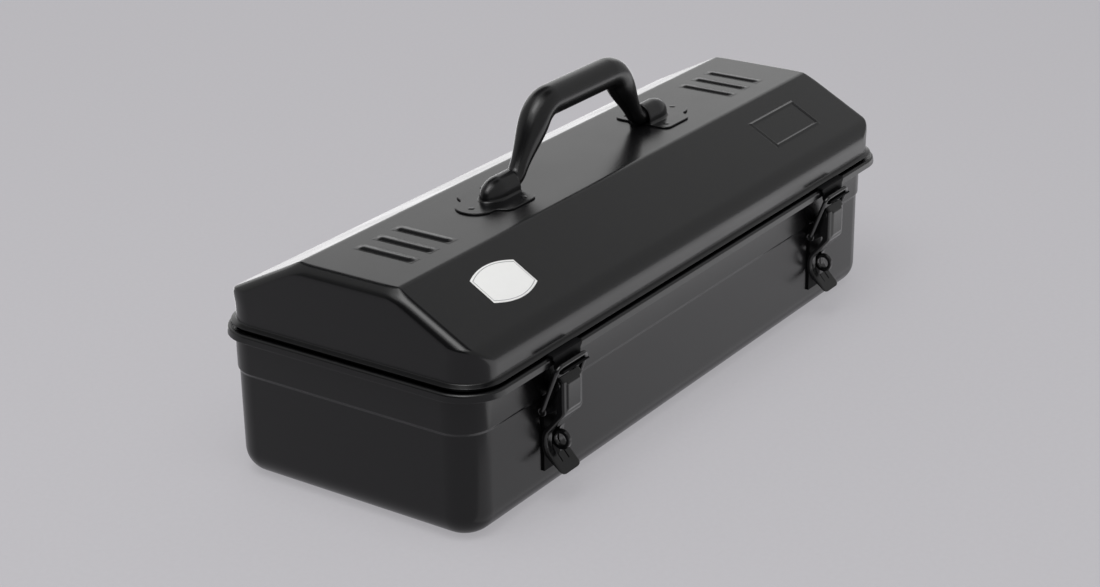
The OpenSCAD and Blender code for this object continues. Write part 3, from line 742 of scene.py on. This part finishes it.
RELIEF_BASE = 0.03
RELIEF_DEPTH = -0.3
RIB_X = (137.0, 152.0, 167.0)
RIB_HALF = 14.0
RIB_RISE = 0.8
RIB_REACH = 3.7
RIB_PATCH = (3.9, 18.2, 0.4)
SLOPE_MID = 29.7
FRAME_X = 136.5
FRAME_HALF = (24.1, 9.85)
FRAME_RISE = 0.62
FRAME_REACH = 1.15
FRAME_PATCH = (25.6, 11.4, 0.42)


def raised_patch(half_x, half_y, pitch, height):
    """Thin closed patch with a height over it, flush along its border."""
    nx, ny = round(2 * half_x / pitch), round(2 * half_y / pitch)
    xs = [-half_x + 2 * half_x * i / nx for i in range(nx + 1)]
    ys = [-half_y + 2 * half_y * j / ny for j in range(ny + 1)]
    return thick_skin([[(x, y, height(x, y)) for x in xs] for y in ys], RELIEF_DEPTH)


def rib_height(x, y):
    """Rib across the top: a pressed line with round ends."""
    d = math.hypot(x, max(0.0, abs(y) - RIB_HALF))
    return RELIEF_BASE + RIB_RISE * bump(d, RIB_REACH)


def frame_height(x, y):
    """Pressed rectangle: height from the distance to its line."""
    dx, dy = abs(x) - FRAME_HALF[0], abs(y) - FRAME_HALF[1]
    outside = math.hypot(max(dx, 0.0), max(dy, 0.0))
    inside = min(max(dx, dy), 0.0)
    return RELIEF_BASE + FRAME_RISE * bump(outside + inside, FRAME_REACH)


def on_front_slope(part, x):
    """Lays a flat part on the middle of the front slope, its own middle at x."""
    points, faces = part
    c, s = math.cos(SLOPE), math.sin(SLOPE)
    out = []
    for px, py, pz in points:
        v = SLOPE_MID + py
        out.append((px + x, -LID_HALF_W + v * c - pz * s, SLOPE_FOOT + v * s + pz * c))
    return out, faces


class TOOLBOX_OT_tub(bpy.types.Operator):
    """Pressed tub with a soft step, a round bottom edge and a rolled rim"""

    bl_idname = "toolbox.tub"
    bl_label = "Tub"

    def execute(self, context):
        part = loft(tub_rings(sizes()))
        shade(make("tub_sheet", part, paint(), "base", ["base_tub"]))
        return {"FINISHED"}


class TOOLBOX_OT_lid(bpy.types.Operator):
    """Camber lid with its flare, the ribs across its top and the pressed rectangle on its slope"""

    bl_idname = "toolbox.lid"
    bl_label = "Lid"

    def execute(self, context):
        part = loft(lid_rings(sizes()["sheet"]))
        shade(make("lid_sheet", part, paint(), "lid", ["lid_shell"]))
        rib = raised_patch(*RIB_PATCH, rib_height)
        ribs = joined(*[moved(rib, dx=s * x, dz=LID_TOP) for _, s in SIDES for x in RIB_X])
        make("lid_ribs", ribs, paint(), "lid")
        line = on_front_slope(raised_patch(*FRAME_PATCH, frame_height), FRAME_X)
        make("lid_frame_line", line, paint(), "lid")
        return {"FINISHED"}


LABEL_X = -143.1
LABEL_HALF = (17.3, 8.3)
LABEL_BULGE = 4.0
LABEL_TURN = math.radians(-2.0)
LABEL_STEPS = 16
# Inset and height of each level
LABEL_EDGE = ((0.0, -0.05), (0.0, 0.25), (0.1, 0.34), (0.25, 0.36))
LABEL_LINE = ((0.9, 0.34), (0.9, 0.38), (1.25, 0.38), (1.25, 0.34), (0.9, 0.34))


def label_outline(inset, z):
    """Blank label: straight ends, upper and lower edges arched, stuck on slightly turned."""
    hx, hy = LABEL_HALF[0] - inset, LABEL_HALF[1] - inset
    xs = [hx * (1 - 2 * i / LABEL_STEPS) for i in range(LABEL_STEPS + 1)]
    upper = [(x, hy + LABEL_BULGE * (1 - (x / hx) ** 2)) for x in xs]
    flat = upper + [(x, -y) for x, y in reversed(upper)]
    c, s = math.cos(LABEL_TURN), math.sin(LABEL_TURN)
    return [(x * c - y * s, x * s + y * c, z) for x, y in flat]


class TOOLBOX_OT_label(bpy.types.Operator):
    """Blank white label on the front slope, with a grey line round it"""

    bl_idname = "toolbox.label"
    bl_label = "Label"

    def execute(self, context):
        sheet = on_front_slope(loft([label_outline(d, z) for d, z in LABEL_EDGE]), LABEL_X)
        make("blank_label", sheet, label_stock(), "lid", ["lid_label"])
        line = loft([label_outline(d, z) for d, z in LABEL_LINE], False, False)
        make("label_line", on_front_slope(line, LABEL_X), label_ink(), "lid")
        return {"FINISHED"}


# Handle and its brackets

PIVOT_Z = 130.35
HANDLE_SIDES = 64
SEAM_RISE = 0.06
SEAM_REACH = 0.16
MOUTH_X = 63.2
DOME_END = 74.5
DOME_NOSE = 13.2
DOME_HALF = 6.9
DOME_TOP = PIVOT_Z + 6.35
DOME_FLARE = 1.6
DOME_WALL = 1.0
DOME_SIDE_STEPS = 10
DOME_NOSE_STEPS = 28
DOME_SINK = 0.05
# Inset and height of each level
PLATE_EDGE = ((0.0, 0.0), (0.0, 0.55), (0.12, 0.84), (0.45, 1.0))
BRACKET_T = 1.0


def handle_path():
    """Middle line of the handle in X and Z above its pivot, with the tube's radius at each point."""
    foot_x, foot_l, foot_bend, lean = 63.7, 14.0, 9.0, math.radians(35)
    grip_bend, lift, foot_r, grip_r = 16.0, 34.1, 5.0, 8.4
    turn = math.pi / 2 - lean
    bend_x = foot_x - foot_bend * math.sin(turn)
    bend_z = foot_bend * (1 - math.cos(turn))
    leg_top = lift - grip_bend * (1 - math.cos(turn))
    leg_l = (leg_top - bend_z) / math.cos(lean)
    top_x = bend_x - leg_l * math.sin(lean)
    grip_x = top_x - grip_bend * math.sin(turn)
    end = ((0.0, 0.6), (0.2, 0.15), (0.7, 0.0))
    half = [(foot_x + foot_l - d, 0.0, foot_r - less) for d, less in end]
    half += [(foot_x + foot_l * k, 0.0, foot_r) for k in (0.75, 0.5, 0.25)]
    for i in range(13):
        a = turn * i / 12
        half.append((foot_x - foot_bend * math.sin(a), foot_bend * (1 - math.cos(a)), foot_r))
    for i in range(1, 16):
        k = i / 16
        half.append((bend_x + (top_x - bend_x) * k, bend_z + (leg_top - bend_z) * k,
                     foot_r + (grip_r - foot_r) * smooth(k)))
    for i in range(17):
        a = turn * (1 - i / 16)
        half.append((grip_x + grip_bend * math.sin(a), lift - grip_bend * (1 - math.cos(a)), grip_r))
    half += [(grip_x * k, lift, grip_r) for k in (0.75, 0.5, 0.25)]
    return half + [(0.0, lift, grip_r)] + [(-x, z, r) for x, z, r in reversed(half)]


def handle_tube():
    """Round tube along the handle's middle line, with a fine parting line at its two sides."""
    path = handle_path()
    line = [Vector((x, 0, z)) for x, z, _ in path]
    rings = []
    for i, (_, _, r) in enumerate(path):
        d = heading(line, i)
        out = Vector((d.z, 0, -d.x))
        level = []
        for c, s in around(HANDLE_SIDES):
            reach = r + SEAM_RISE * bump(c, SEAM_REACH)
            level.append(tuple(line[i] + out * (reach * c) + Vector((0, reach * s, 0))))
        rings.append(level)
    return loft(rings)


class TOOLBOX_OT_handle(bpy.types.Operator):
    """Bail handle: a tube that swells from its feet to the grip"""

    bl_idname = "toolbox.handle"
    bl_label = "Handle"

    def execute(self, context):
        shade(fitting("bail_handle", moved(handle_tube(), dz=PIVOT_Z), "handle", ["handle"]))
        return {"FINISHED"}


def bracket_outline():
    """Plan of a bracket on the +X side: winged plate with a round outer lobe."""
    wing_w, mouth_r, wing_r, join_r = 17.9, 4.5, 5.0, 3.0
    lobe_x, lobe_r = MOUTH_X + 30.0, 11.0
    meet, ahead = math.radians(100), math.radians(75)
    join, past = ((lobe_x + lobe_r * math.cos(a), lobe_r * math.sin(a)) for a in (meet, ahead))
    corner_x = join[0] - (wing_w - join[1]) * 0.6
    half = round_path([(MOUTH_X, 0.0), (MOUTH_X, wing_w), (corner_x, wing_w), join, past],
                      [mouth_r, wing_r, join_r])[1:]
    for i in range(1, 13):
        a = ahead * (1 - i / 12)
        half.append(Vector((lobe_x + lobe_r * math.cos(a), lobe_r * math.sin(a))))
    return half + [Vector((p.x, -p.y)) for p in reversed(half[:-1])]


def inset_outline(outline, d):
    """Outline moved inward by a small distance."""
    n = len(outline)
    out = []
    for i in range(n):
        t = (outline[(i + 1) % n] - outline[i - 1]).normalized()
        out.append(outline[i] + Vector((t.y, -t.x)) * d)
    return out


def bracket_plate(base):
    """Bracket plate with round upper edges."""
    outline = bracket_outline()
    return loft([[(p.x, p.y, base + z) for p in inset_outline(outline, d)] for d, z in PLATE_EDGE])


def bullet_row(half, nose, z):
    """U-shaped level of a dome: from the mouth along one side, round the nose and back."""
    run = (DOME_END - MOUTH_X) / DOME_SIDE_STEPS
    row = [(MOUTH_X + run * i, half, z) for i in range(DOME_SIDE_STEPS)]
    for i in range(DOME_NOSE_STEPS + 1):
        a = math.pi * i / DOME_NOSE_STEPS
        row.append((DOME_END + nose * math.sin(a), half * math.cos(a), z))
    return row + [(DOME_END - run * i, -half, z) for i in range(1, DOME_SIDE_STEPS + 1)]


def dome_rows(base, wall):
    """Levels of an egg-shaped dome, wall inside its outer face, from the foot to the crown."""
    tall = DOME_TOP - wall - base
    rows = [bullet_row((DOME_HALF - wall) * c, (DOME_NOSE - wall) * c, base + tall * s)
            for s, c in arc(5, 18)]
    return rows + [bullet_row(0.02, 0.02, DOME_TOP - wall)]


def bracket_dome(base):
    """Dome over a foot: a closed shell with a flared foot, an egg-shaped top and an open mouth."""
    flare, lining = [], []
    for s, c in arc(15, 6):
        reach, z = DOME_FLARE * (1 - s), base + DOME_FLARE * (1 - c)
        flare.append(bullet_row(DOME_HALF + reach, DOME_NOSE + reach, z))
        lining.append(bullet_row(DOME_HALF - DOME_WALL, DOME_NOSE - DOME_WALL, z))
    outer = flare + dome_rows(base + DOME_FLARE, 0.0)
    inner = lining + dome_rows(base + DOME_FLARE, DOME_WALL)
    points, faces = joined(grid_skin(outer), grid_skin(inner))
    width, start = len(inner[0]), len(outer) * len(inner[0])
    for shift in (0, width - 1):
        for k in range(len(outer) - 1):
            a, b = k * width + shift, start + k * width + shift
            faces.append((a, a + width, b + width, b))
    faces += [(i, i + 1, start + i + 1, start + i) for i in range(width - 1)]
    return points, faces


class TOOLBOX_OT_brackets(bpy.types.Operator):
    """Handle brackets: winged plates with a dome over each foot"""

    bl_idname = "toolbox.brackets"
    bl_label = "Handle Brackets"

    def execute(self, context):
        part = joined(bracket_plate(LID_TOP), bracket_dome(LID_TOP + BRACKET_T - DOME_SINK))
        for side, s in SIDES:
            shade(fitting("bracket_" + side, moved(part, flip=s), "lid", ["handle_bracket_" + side]))
        return {"FINISHED"}


# Rivets

LATCH_X = 136.5
HINGE_X = 115.0
RIVET_SIDES = 24
RIVET_ROUND = ((0.97, 0.32), (0.86, 0.6), (0.66, 0.82), (0.4, 0.95), (0.15, 1.0))
BRACKET_RIVETS = ((69.6, 13.2), (69.6, -13.2), (97.6, 0.0))
HINGE_RIVET_Y = (81.2, 79.0)
HINGE_RIVET_OFF = (-10.0, 10.0)
LATCH_RIVET_Y = (-74.7, -72.5)
LATCH_RIVET_Z = (23.5, 50.5)


def rivet_head(r, h):
    """Low round rivet head standing up from z = 0."""
    rows = [(r, -0.2), (r, 0.15 * h)] + [(r * k, h * up) for k, up in RIVET_ROUND]
    return loft([[(a * c, a * s, z) for c, s in around(RIVET_SIDES)] for a, z in rows])


def facing(part, direction):
    """Turns a part that stands along +Z to stand along another axis: -1 front, 1 back."""
    points, faces = part
    return [(x, direction * z, -direction * y) for x, y, z in points], faces


def rivet_pairs(head, tail, direction, levels, spots):
    """Rivets through a wall: outer heads that face one way and inner heads that face the other."""
    outer, inner = facing(head, direction), facing(tail, -direction)
    return joined(*[moved(part, x, y, z) for part, y in zip((outer, inner), levels) for x, z in spots])


class TOOLBOX_OT_rivets(bpy.types.Operator):
    """Round rivet heads of brackets, hinges and latch plates, with their inner heads"""

    bl_idname = "toolbox.rivets"
    bl_label = "Rivets"

    def execute(self, context):
        low, head, tail = rivet_head(1.7, 0.35), rivet_head(2.5, 1.1), rivet_head(2.6, 0.6)
        down = [(x, y, -z) for x, y, z in tail[0]], tail[1]
        ends = ((low, LID_TOP + BRACKET_T), (down, LID_TOP - sizes()["sheet"]))
        part = joined(*[moved(rivet, s * x, y, z) for rivet, z in ends
                        for _, s in SIDES for x, y in BRACKET_RIVETS])
        fitting("bracket_rivet_heads", part, "lid", ["bracket_rivets"])
        low_z, high_z = (corner[2] for corner in solid_box_mm("hinge_rivets"))
        spots = [(s * HINGE_X + d, (low_z + high_z) / 2) for _, s in SIDES for d in HINGE_RIVET_OFF]
        part = rivet_pairs(head, tail, 1, HINGE_RIVET_Y, spots)
        fitting("hinge_rivet_heads", part, "base", ["hinge_rivets"])
        spots = [(s * LATCH_X, z) for _, s in SIDES for z in LATCH_RIVET_Z]
        part = rivet_pairs(head, tail, -1, LATCH_RIVET_Y, spots)
        fitting("latch_rivet_heads", part, "base", ["latch_rivets"], dull_black)
        return {"FINISHED"}


# Latches

LEVER = (-83.664, 67.0)
LINK = (-78.0, 53.0)
HOOK = (-87.4, 78.0)
FACE_Y = LEVER[0] - 4.2
LEVER_HALF = half_across("latch_lever_left")
LEVER_T = 1.1
LEVER_CORNERS = ((FACE_Y + 2.2, 71.6), (FACE_Y, 68.8), (FACE_Y, 51.0), (-76.8, 37.5), (-76.8, 30.0),
                 (-86.9, 18.4))
LEVER_BENDS = (1.2, 5.0, 8.0, 8.0)
CHEEK_DEPTH = (4.4, 2.6)
CHEEK_DROP = (52.5, 8.0)
TAB_FADE = 14.0
TIP_R = 3.0
SLOT_HALF = 3.2
SLOT_Z = (26.5, 40.5)
SLIT = (2.4, 3.6)
PAD_RISE = 0.9
PAD_FLANK = (4.7, 7.0)
PAD_FOOT = (52.2, 54.4)
PAD_HEAD = (67.0, 69.4)
LEG_X = half_across("latch_link_left") - 0.8
KEEPER_HALF = half_across("latch_keeper_left")
KEEPER_WIDE = KEEPER_HALF + 1.5
KEEPER_ROOT = (-79.4, 83.95)
KEEPER_MID = 2.5
KEEPER_T = 1.0
KEEPER_CURL = math.radians(143.0)
KEEPER_FLARE = (HOOK[1] + 2.2, HOOK[1] + 4.4)
KEEPER_SHARES = (-1, -0.9, -0.7, -0.35, 0, 0.35, 0.7, 0.9, 1)


def lever_section(cheek, share, pad):
    """Across a lever: raised pad with soft flanks, border, round bends and turned-back cheeks."""
    bend, half = 1.3, LEVER_HALF
    start, stop = PAD_FLANK
    right = []
    for x in (0.0, 1.2, SLIT[0], SLOT_HALF, 4.0, start, 5.1, 5.5, 5.85, 6.2, 6.6, stop):
        right.append((x, -PAD_RISE * pad * ramp(stop - x, 0.0, stop - start)))
    right += [(half - bend + bend * s, bend * (1 - c)) for s, c in arc(15, 7)[1:]]
    right.append((half, max(bend + 0.1, cheek)))
    right = [(x * share, d) for x, d in right]
    return [(-x, d) for x, d in reversed(right[1:])] + right


def lever_skin():
    """Face, bevel, waist and finger tab of a lever as one pressed sheet."""
    path = even_path(round_path(LEVER_CORNERS, LEVER_BENDS), 0.5)
    left = sum((b - a).length for a, b in zip(path, path[1:]))
    rows = []
    for i, p in enumerate(path):
        if i:
            left -= (p - path[i - 1]).length
        drop = ramp(CHEEK_DROP[0] - p.y, 0.0, CHEEK_DROP[1])
        fade = ramp(left, 0.0, TAB_FADE)
        cheek = CHEEK_DEPTH[0] + (CHEEK_DEPTH[1] - CHEEK_DEPTH[0]) * drop
        share = 1.0 - 0.03 * drop
        if left < TIP_R:
            share -= (TIP_R - math.sqrt(max(0.0, TIP_R ** 2 - (TIP_R - left) ** 2))) / LEVER_HALF
        pad = ramp(p.y, *PAD_FOOT) * (1 - ramp(p.y, *PAD_HEAD))
        d = heading(path, i)
        back = Vector((-d.y, d.x)) * (0.18 + 0.82 * fade)
        section = [(x, p + back * depth) for x, depth in lever_section(cheek, share, pad)]
        rows.append([(x, q.x, q.y) for x, q in section])
    return rows


def in_slot(p):
    """True in the slot for the padlock eye and in the two slits at its foot."""
    if SLIT[0] < abs(p.x) < SLOT_HALF and SLOT_Z[0] - SLIT[1] < p.z <= SLOT_Z[0]:
        return True
    return abs(p.x) < SLOT_HALF and SLOT_Z[0] < p.z < SLOT_Z[1]


def lever_cheeks():
    """Plates at both sides of a lever that hold its pivot and the link's pin."""
    bosses = ((LEVER[0] + 0.2, LEVER[1], 3.0), (*LINK, 2.9), (FACE_Y + 3.2, 55.0, 1.0))
    outline = outer_hull([(y + r * c, z + r * s) for y, z, r in bosses for c, s in around(40)])
    return joined(*[loft([[(s * (LEVER_HALF - d), y, z) for y, z in outline] for d in (0.2, 1.2)])
                    for s in (-1, 1)])


class TOOLBOX_OT_levers(bpy.types.Operator):
    """Latch levers: pressed face with a bevel, slotted waist and finger tab, with their cheeks"""

    bl_idname = "toolbox.levers"
    bl_label = "Latch Levers"

    def execute(self, context):
        skin, cheeks = thick_skin(lever_skin(), LEVER_T, in_slot), lever_cheeks()
        for side, s in SIDES:
            body, dx = "lever_" + side, s * LATCH_X
            soften(fitting("lever_" + side, moved(skin, dx), body, ["latch_lever_" + side]), 0.25, 50)
            soften(fitting("lever_cheeks_" + side, moved(cheeks, dx), body), 0.25)
        return {"FINISHED"}


def link_wire(r):
    """Wire bail of a latch: two legs, two bends and the bar that lies in the hook."""
    half = LEG_X
    lean = Vector((0.0, HOOK[0] - LINK[0], HOOK[1] - LINK[1]))
    length = lean.length
    flat = round_path([(-half, 0.0), (-half, length), (half, length), (half, 0.0)], [3.4, 3.4], 10)
    foot, up = Vector((0.0, *LINK)), lean.normalized()
    path = [foot + up * p.y + Vector((p.x, 0.0, 0.0)) for p in even_path(flat, 1.2)]
    rings = []
    normal = heading(path, 0).orthogonal().normalized()
    for i, p in enumerate(path):
        d = heading(path, i)
        normal = (normal - d * normal.dot(d)).normalized()
        side = d.cross(normal)
        rings.append([tuple(p + (normal * c + side * s) * r) for c, s in around(14)])
    return loft(rings)


def closed_turn(count):
    """Cosine and sine round a full turn, back to the first."""
    turns = around(count)
    return turns + turns[:1]


def eye_ring(x):
    """Small round eye about the link's pivot."""
    half, inner, outer, edge = 0.8, 1.5, 2.5, 0.3
    section = [(inner, -half), (outer - edge, -half), (outer, -half + edge),
               (outer, half - edge), (outer - edge, half), (inner, half)]
    return loft([[(x + w, LINK[0] + r * c, LINK[1] + r * s) for r, w in section]
                 for c, s in closed_turn(32)], False, False)


class TOOLBOX_OT_links(bpy.types.Operator):
    """Wire links with an eye on each leg"""

    bl_idname = "toolbox.links"
    bl_label = "Latch Links"

    def execute(self, context):
        part = joined(link_wire(sizes()["wire_r"]), eye_ring(-LEG_X), eye_ring(LEG_X))
        for side, s in SIDES:
            shade(fitting("link_" + side, moved(part, s * LATCH_X), "link_" + side,
                          ["latch_link_" + side], wire_black))
        return {"FINISHED"}


def keeper_skin():
    """Keeper: root under the lid's flare, a drop past the rim and a curled hook."""
    drop_y = HOOK[0] + KEEPER_MID
    start = round_path([KEEPER_ROOT, (drop_y, KEEPER_ROOT[1]), (drop_y, HOOK[1])], [1.0])
    curl = []
    for i in range(1, 23):
        a = KEEPER_CURL * i / 22
        curl.append(Vector((HOOK[0] + KEEPER_MID * math.cos(a), HOOK[1] - KEEPER_MID * math.sin(a))))
    rows = []
    for p in even_path(start, 0.6) + curl:
        half = KEEPER_HALF + (KEEPER_WIDE - KEEPER_HALF) * ramp(p.y, *KEEPER_FLARE)
        rows.append([(half * k, p.x, p.y) for k in KEEPER_SHARES])
    return rows


class TOOLBOX_OT_keepers(bpy.types.Operator):
    """Keepers with a curled hook, welded under the lid's flare"""

    bl_idname = "toolbox.keepers"
    bl_label = "Latch Keepers"

    def execute(self, context):
        part = thick_skin(keeper_skin(), KEEPER_T)
        for side, s in SIDES:
            soften(fitting("keeper_" + side, moved(part, s * LATCH_X), "lid", ["latch_keeper_" + side],
                           dull_black), 0.2, 50)
        return {"FINISHED"}


def padlock_ring():
    """Padlock eye: a round-edged ring on a short root."""
    cy, cz, hole, out, half, root, edge, plate_y = -80.5, 33.5, 3.2, 5.4, 1.2, 3.8, 0.55, -74.6
    rings = []
    for c, s in closed_turn(64):
        reach = out
        if c > 0:
            to_plate, to_side = (plate_y - cy) / max(c, 1e-3), root / max(abs(s), 1e-3)
            reach = max(out, min(to_plate, to_side))
        section = []
        for r, w, turn in ((hole + edge, -half + edge, 225), (reach - edge, -half + edge, 315),
                           (reach - edge, half - edge, 45), (hole + edge, half - edge, 135)):
            for k in (-45, -15, 15, 45):
                a = math.radians(turn + k)
                section.append((r + edge * math.cos(a), w + edge * math.sin(a)))
        rings.append([(w, cy + r * c, cz + r * s) for r, w in section])
    return loft(rings, False, False)


class TOOLBOX_OT_eyes(bpy.types.Operator):
    """Padlock eyes that stand out through the levers' slots"""

    bl_idname = "toolbox.eyes"
    bl_label = "Padlock Eyes"

    def execute(self, context):
        part = padlock_ring()
        for side, s in SIDES:
            shade(fitting("padlock_ring_" + side, moved(part, s * LATCH_X), "base",
                          ["padlock_eye_" + side]))
        return {"FINISHED"}


class TOOLBOX_OT_solids(bpy.types.Operator):
    """Finishes of the solids that stay: hinge leaves, latch plates and pins"""

    bl_idname = "toolbox.solids"
    bl_label = "Plates, Hinges and Pins"

    def execute(self, context):
        kept = {"hinge_base_leaf": fittings, "hinge_lid_leaf": fittings, "latch_plate": dull_black,
                "hinge_pin": plated, "lever_pin": fittings, "link_pin": wire_black}
        for stem, finish in kept.items():
            for side, _ in SIDES:
                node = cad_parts[stem + "_" + side]
                node.data.materials.clear()
                node.data.materials.append(finish())
        return {"FINISHED"}


# Stage

FLOOR_HALF = 6.0
FLOOR_Z = -0.0002
FIBRE_TONES = (0.97, 1.03)
FLAG_DARK = 0.08
# Direction of each dark flag, and the cosines at its edge and its core
FLAGS = (((-1.0, 0.0, 0.0), 0.5, 0.92), ((0.45, 0.53, 0.72), 0.92, 0.975),
         ((0.38, -0.17, 0.91), 0.955, 0.985))
# Name, place, point it faces, size and power setting of each lamp
LAMPS = (("top_panel", (-0.85, -0.2, 1.6), (-0.6, 0.0, 0.05), (1.8, 1.7), "key"),
         ("soft_box", (-0.65, -0.15, 1.5), (-0.15, 0.0, 0.1), (0.8, 0.6), "box"),
         ("rear_panel", (1.15, 1.2, 0.66), (0.0, 0.0, 0.1), (2.4, 1.1), "rear"),
         ("rear_fill", (0.9, 0.9, 0.0005), (0.9, 0.9, 1.0), (2.0, 1.4), "table"),
         ("floor_fill", (0.7, -0.4125, 0.0005), (0.7, -0.4125, 1.0), (1.65, 0.495), "fill"),
         ("near_fill", (0.275, -0.1215, 0.0005), (0.275, -0.1215, 1.0), (0.95, 0.087), "near"))
TARGET = (0.0, 0.0, 0.07)
CLIP = (0.02, 50.0)


def floor_paper():
    """Pale paper: one even tone in the picture and in reflections, darker where the box shades it."""
    matt = {"Roughness": 0.95, "Specular IOR Level": 0.0}
    material, tree, shader = blank_material("Pale Paper", matt)
    colour = finish_colour("floor")
    shaded = bpy.context.scene.toolbox_stage.shade
    fibre = placed(tree, grain_group(), {"Grain Scale": 900.0, "Drift Scale": 330.0})
    for socket, share in (("Base Color", shaded), ("Emission Color", 1 - shaded)):
        dark, pale = ([c * share * k for c in colour] for k in FIBRE_TONES)
        tree.links.new(tinted(tree, fibre["Drift"], dark, pale), shader.inputs[socket])
    ray = tree.nodes.new("ShaderNodeLightPath").outputs
    seen = ray["Is Camera Ray"]
    for kind in ("Is Glossy Ray", "Is Transmission Ray"):
        seen = combined(tree, "MAXIMUM", seen, ray[kind])
    tree.links.new(seen, shader.inputs["Emission Strength"])
    return material


def studio_dome(strength):
    """Even light from all round, less three dark flags, left and overhead, that draw the edges."""
    world = bpy.data.worlds.new("Studio Dome")
    world.use_nodes = True
    tree = world.node_tree
    place = tree.nodes.new("ShaderNodeTexCoord").outputs["Generated"]
    level = tree.nodes.new("ShaderNodeValue").outputs["Value"]
    level.default_value = strength
    for direction, edge, core in FLAGS:
        toward = add_node(tree, "ShaderNodeVectorMath", {1: direction}, {0: place}, "DOT_PRODUCT")
        flag = mapped(tree, toward.outputs["Value"], (edge, core), (1.0, FLAG_DARK), "SMOOTHSTEP")
        level = combined(tree, "MULTIPLY", level, flag)
    background = tree.nodes["Background"]
    background.inputs["Color"].default_value = (1.0, 1.0, 1.0, 1.0)
    tree.links.new(level, background.inputs["Strength"])
    return world


def facing_frame(place, across, above, back):
    """Placing of a lamp or camera that looks away from back."""
    return Matrix.Translation(place) @ Matrix((across, above, back)).transposed().to_4x4()


def soft_lamp(name, place, aim, size, power):
    """Large soft lamp that faces a point and stays out of the picture."""
    data = bpy.data.lights.new(name, "AREA")
    data.shape = "RECTANGLE"
    data.size, data.size_y = size
    data.energy = power
    lamp = bpy.data.objects.new(name, data)
    back = (Vector(place) - Vector(aim)).normalized()
    across = Vector((-back.y, back.x, 0.0))
    if across.length < 0.5:
        across = Vector((1.0, 0.0, 0.0)) - back * back.x
    across.normalize()
    lamp.matrix_world = facing_frame(place, across, back.cross(across), back)
    lamp.visible_camera = False
    bpy.context.scene.collection.objects.link(lamp)


def photo_camera(s):
    """Camera at the photograph's viewing angle."""
    az, el = s.azimuth, s.elevation
    back = Vector((math.sin(az) * math.cos(el), -math.cos(az) * math.cos(el), math.sin(el)))
    right = Vector((math.cos(az), math.sin(az), 0.0))
    up = back.cross(right)
    c, k = math.cos(s.roll), math.sin(s.roll)
    across, above = right * c + up * k, up * c - right * k
    place = Vector(TARGET) + back * s.distance - across * s.shift[0] - above * s.shift[1]
    data = bpy.data.cameras.new("photo_camera")
    data.sensor_fit = "HORIZONTAL"
    data.sensor_width = SENSOR
    data.lens = s.lens
    data.clip_start, data.clip_end = CLIP
    camera = bpy.data.objects.new("photo_camera", data)
    camera.matrix_world = facing_frame(place, across, above, back)
    bpy.context.scene.collection.objects.link(camera)
    return camera


class TOOLBOX_OT_stage(bpy.types.Operator):
    """Pale floor, dome light, soft lamps and the camera"""

    bl_idname = "toolbox.stage"
    bl_label = "Stage"

    def execute(self, context):
        scene = context.scene
        settings = scene.toolbox_stage
        scene.view_settings.view_transform = "Standard"
        mesh = bpy.data.meshes.new("pale_floor")
        square = ((-1, -1), (1, -1), (1, 1), (-1, 1))
        mesh.from_pydata([(x * FLOOR_HALF, y * FLOOR_HALF, 0) for x, y in square], [], [(0, 1, 2, 3)])
        mesh.materials.append(floor_paper())
        floor = bpy.data.objects.new("pale_floor", mesh)
        floor.location.z = FLOOR_Z
        scene.collection.objects.link(floor)
        scene.world = studio_dome(settings.sky)
        for name, place, aim, size, power in LAMPS:
            soft_lamp(name, place, aim, size, getattr(settings, power))
        scene.camera = photo_camera(settings)
        return {"FINISHED"}


class TOOLBOX_PT_panel(bpy.types.Panel):
    """Lists the steps that build the toolbox and its settings"""

    bl_label = "Steel Toolbox"
    bl_idname = "TOOLBOX_PT_panel"
    bl_space_type = "VIEW_3D"
    bl_region_type = "UI"
    bl_category = "Toolbox"

    def draw(self, context):
        for step in STEPS:
            self.layout.operator(step.bl_idname)
        for name in ("toolbox_sizes", "toolbox_finish", "toolbox_stage"):
            group = getattr(context.scene, name)
            for key in group.__annotations__:
                self.layout.prop(group, key)


STEPS = (TOOLBOX_OT_tub, TOOLBOX_OT_lid, TOOLBOX_OT_label, TOOLBOX_OT_handle, TOOLBOX_OT_brackets,
         TOOLBOX_OT_rivets, TOOLBOX_OT_levers, TOOLBOX_OT_links, TOOLBOX_OT_keepers, TOOLBOX_OT_eyes,
         TOOLBOX_OT_solids, TOOLBOX_OT_stage)
GROUPS = (ToolboxSizes, ToolboxFinish, ToolboxStage)


def register():
    """Registers the settings, the steps and the panel."""
    for cls in (*GROUPS, *STEPS, TOOLBOX_PT_panel):
        bpy.utils.register_class(cls)
    bpy.types.Scene.toolbox_sizes = PointerProperty(type=ToolboxSizes)
    bpy.types.Scene.toolbox_finish = PointerProperty(type=ToolboxFinish)
    bpy.types.Scene.toolbox_stage = PointerProperty(type=ToolboxStage)


def unregister():
    """Takes the settings, the steps and the panel out again."""
    del bpy.types.Scene.toolbox_stage
    del bpy.types.Scene.toolbox_finish
    del bpy.types.Scene.toolbox_sizes
    for cls in reversed((*GROUPS, *STEPS, TOOLBOX_PT_panel)):
        bpy.utils.unregister_class(cls)


def main():
    """Builds every piece and the stage."""
    register()
    for step in STEPS:
        group, name = step.bl_idname.split(".")
        getattr(getattr(bpy.ops, group), name)()


if __name__ == "__main__":
    main()
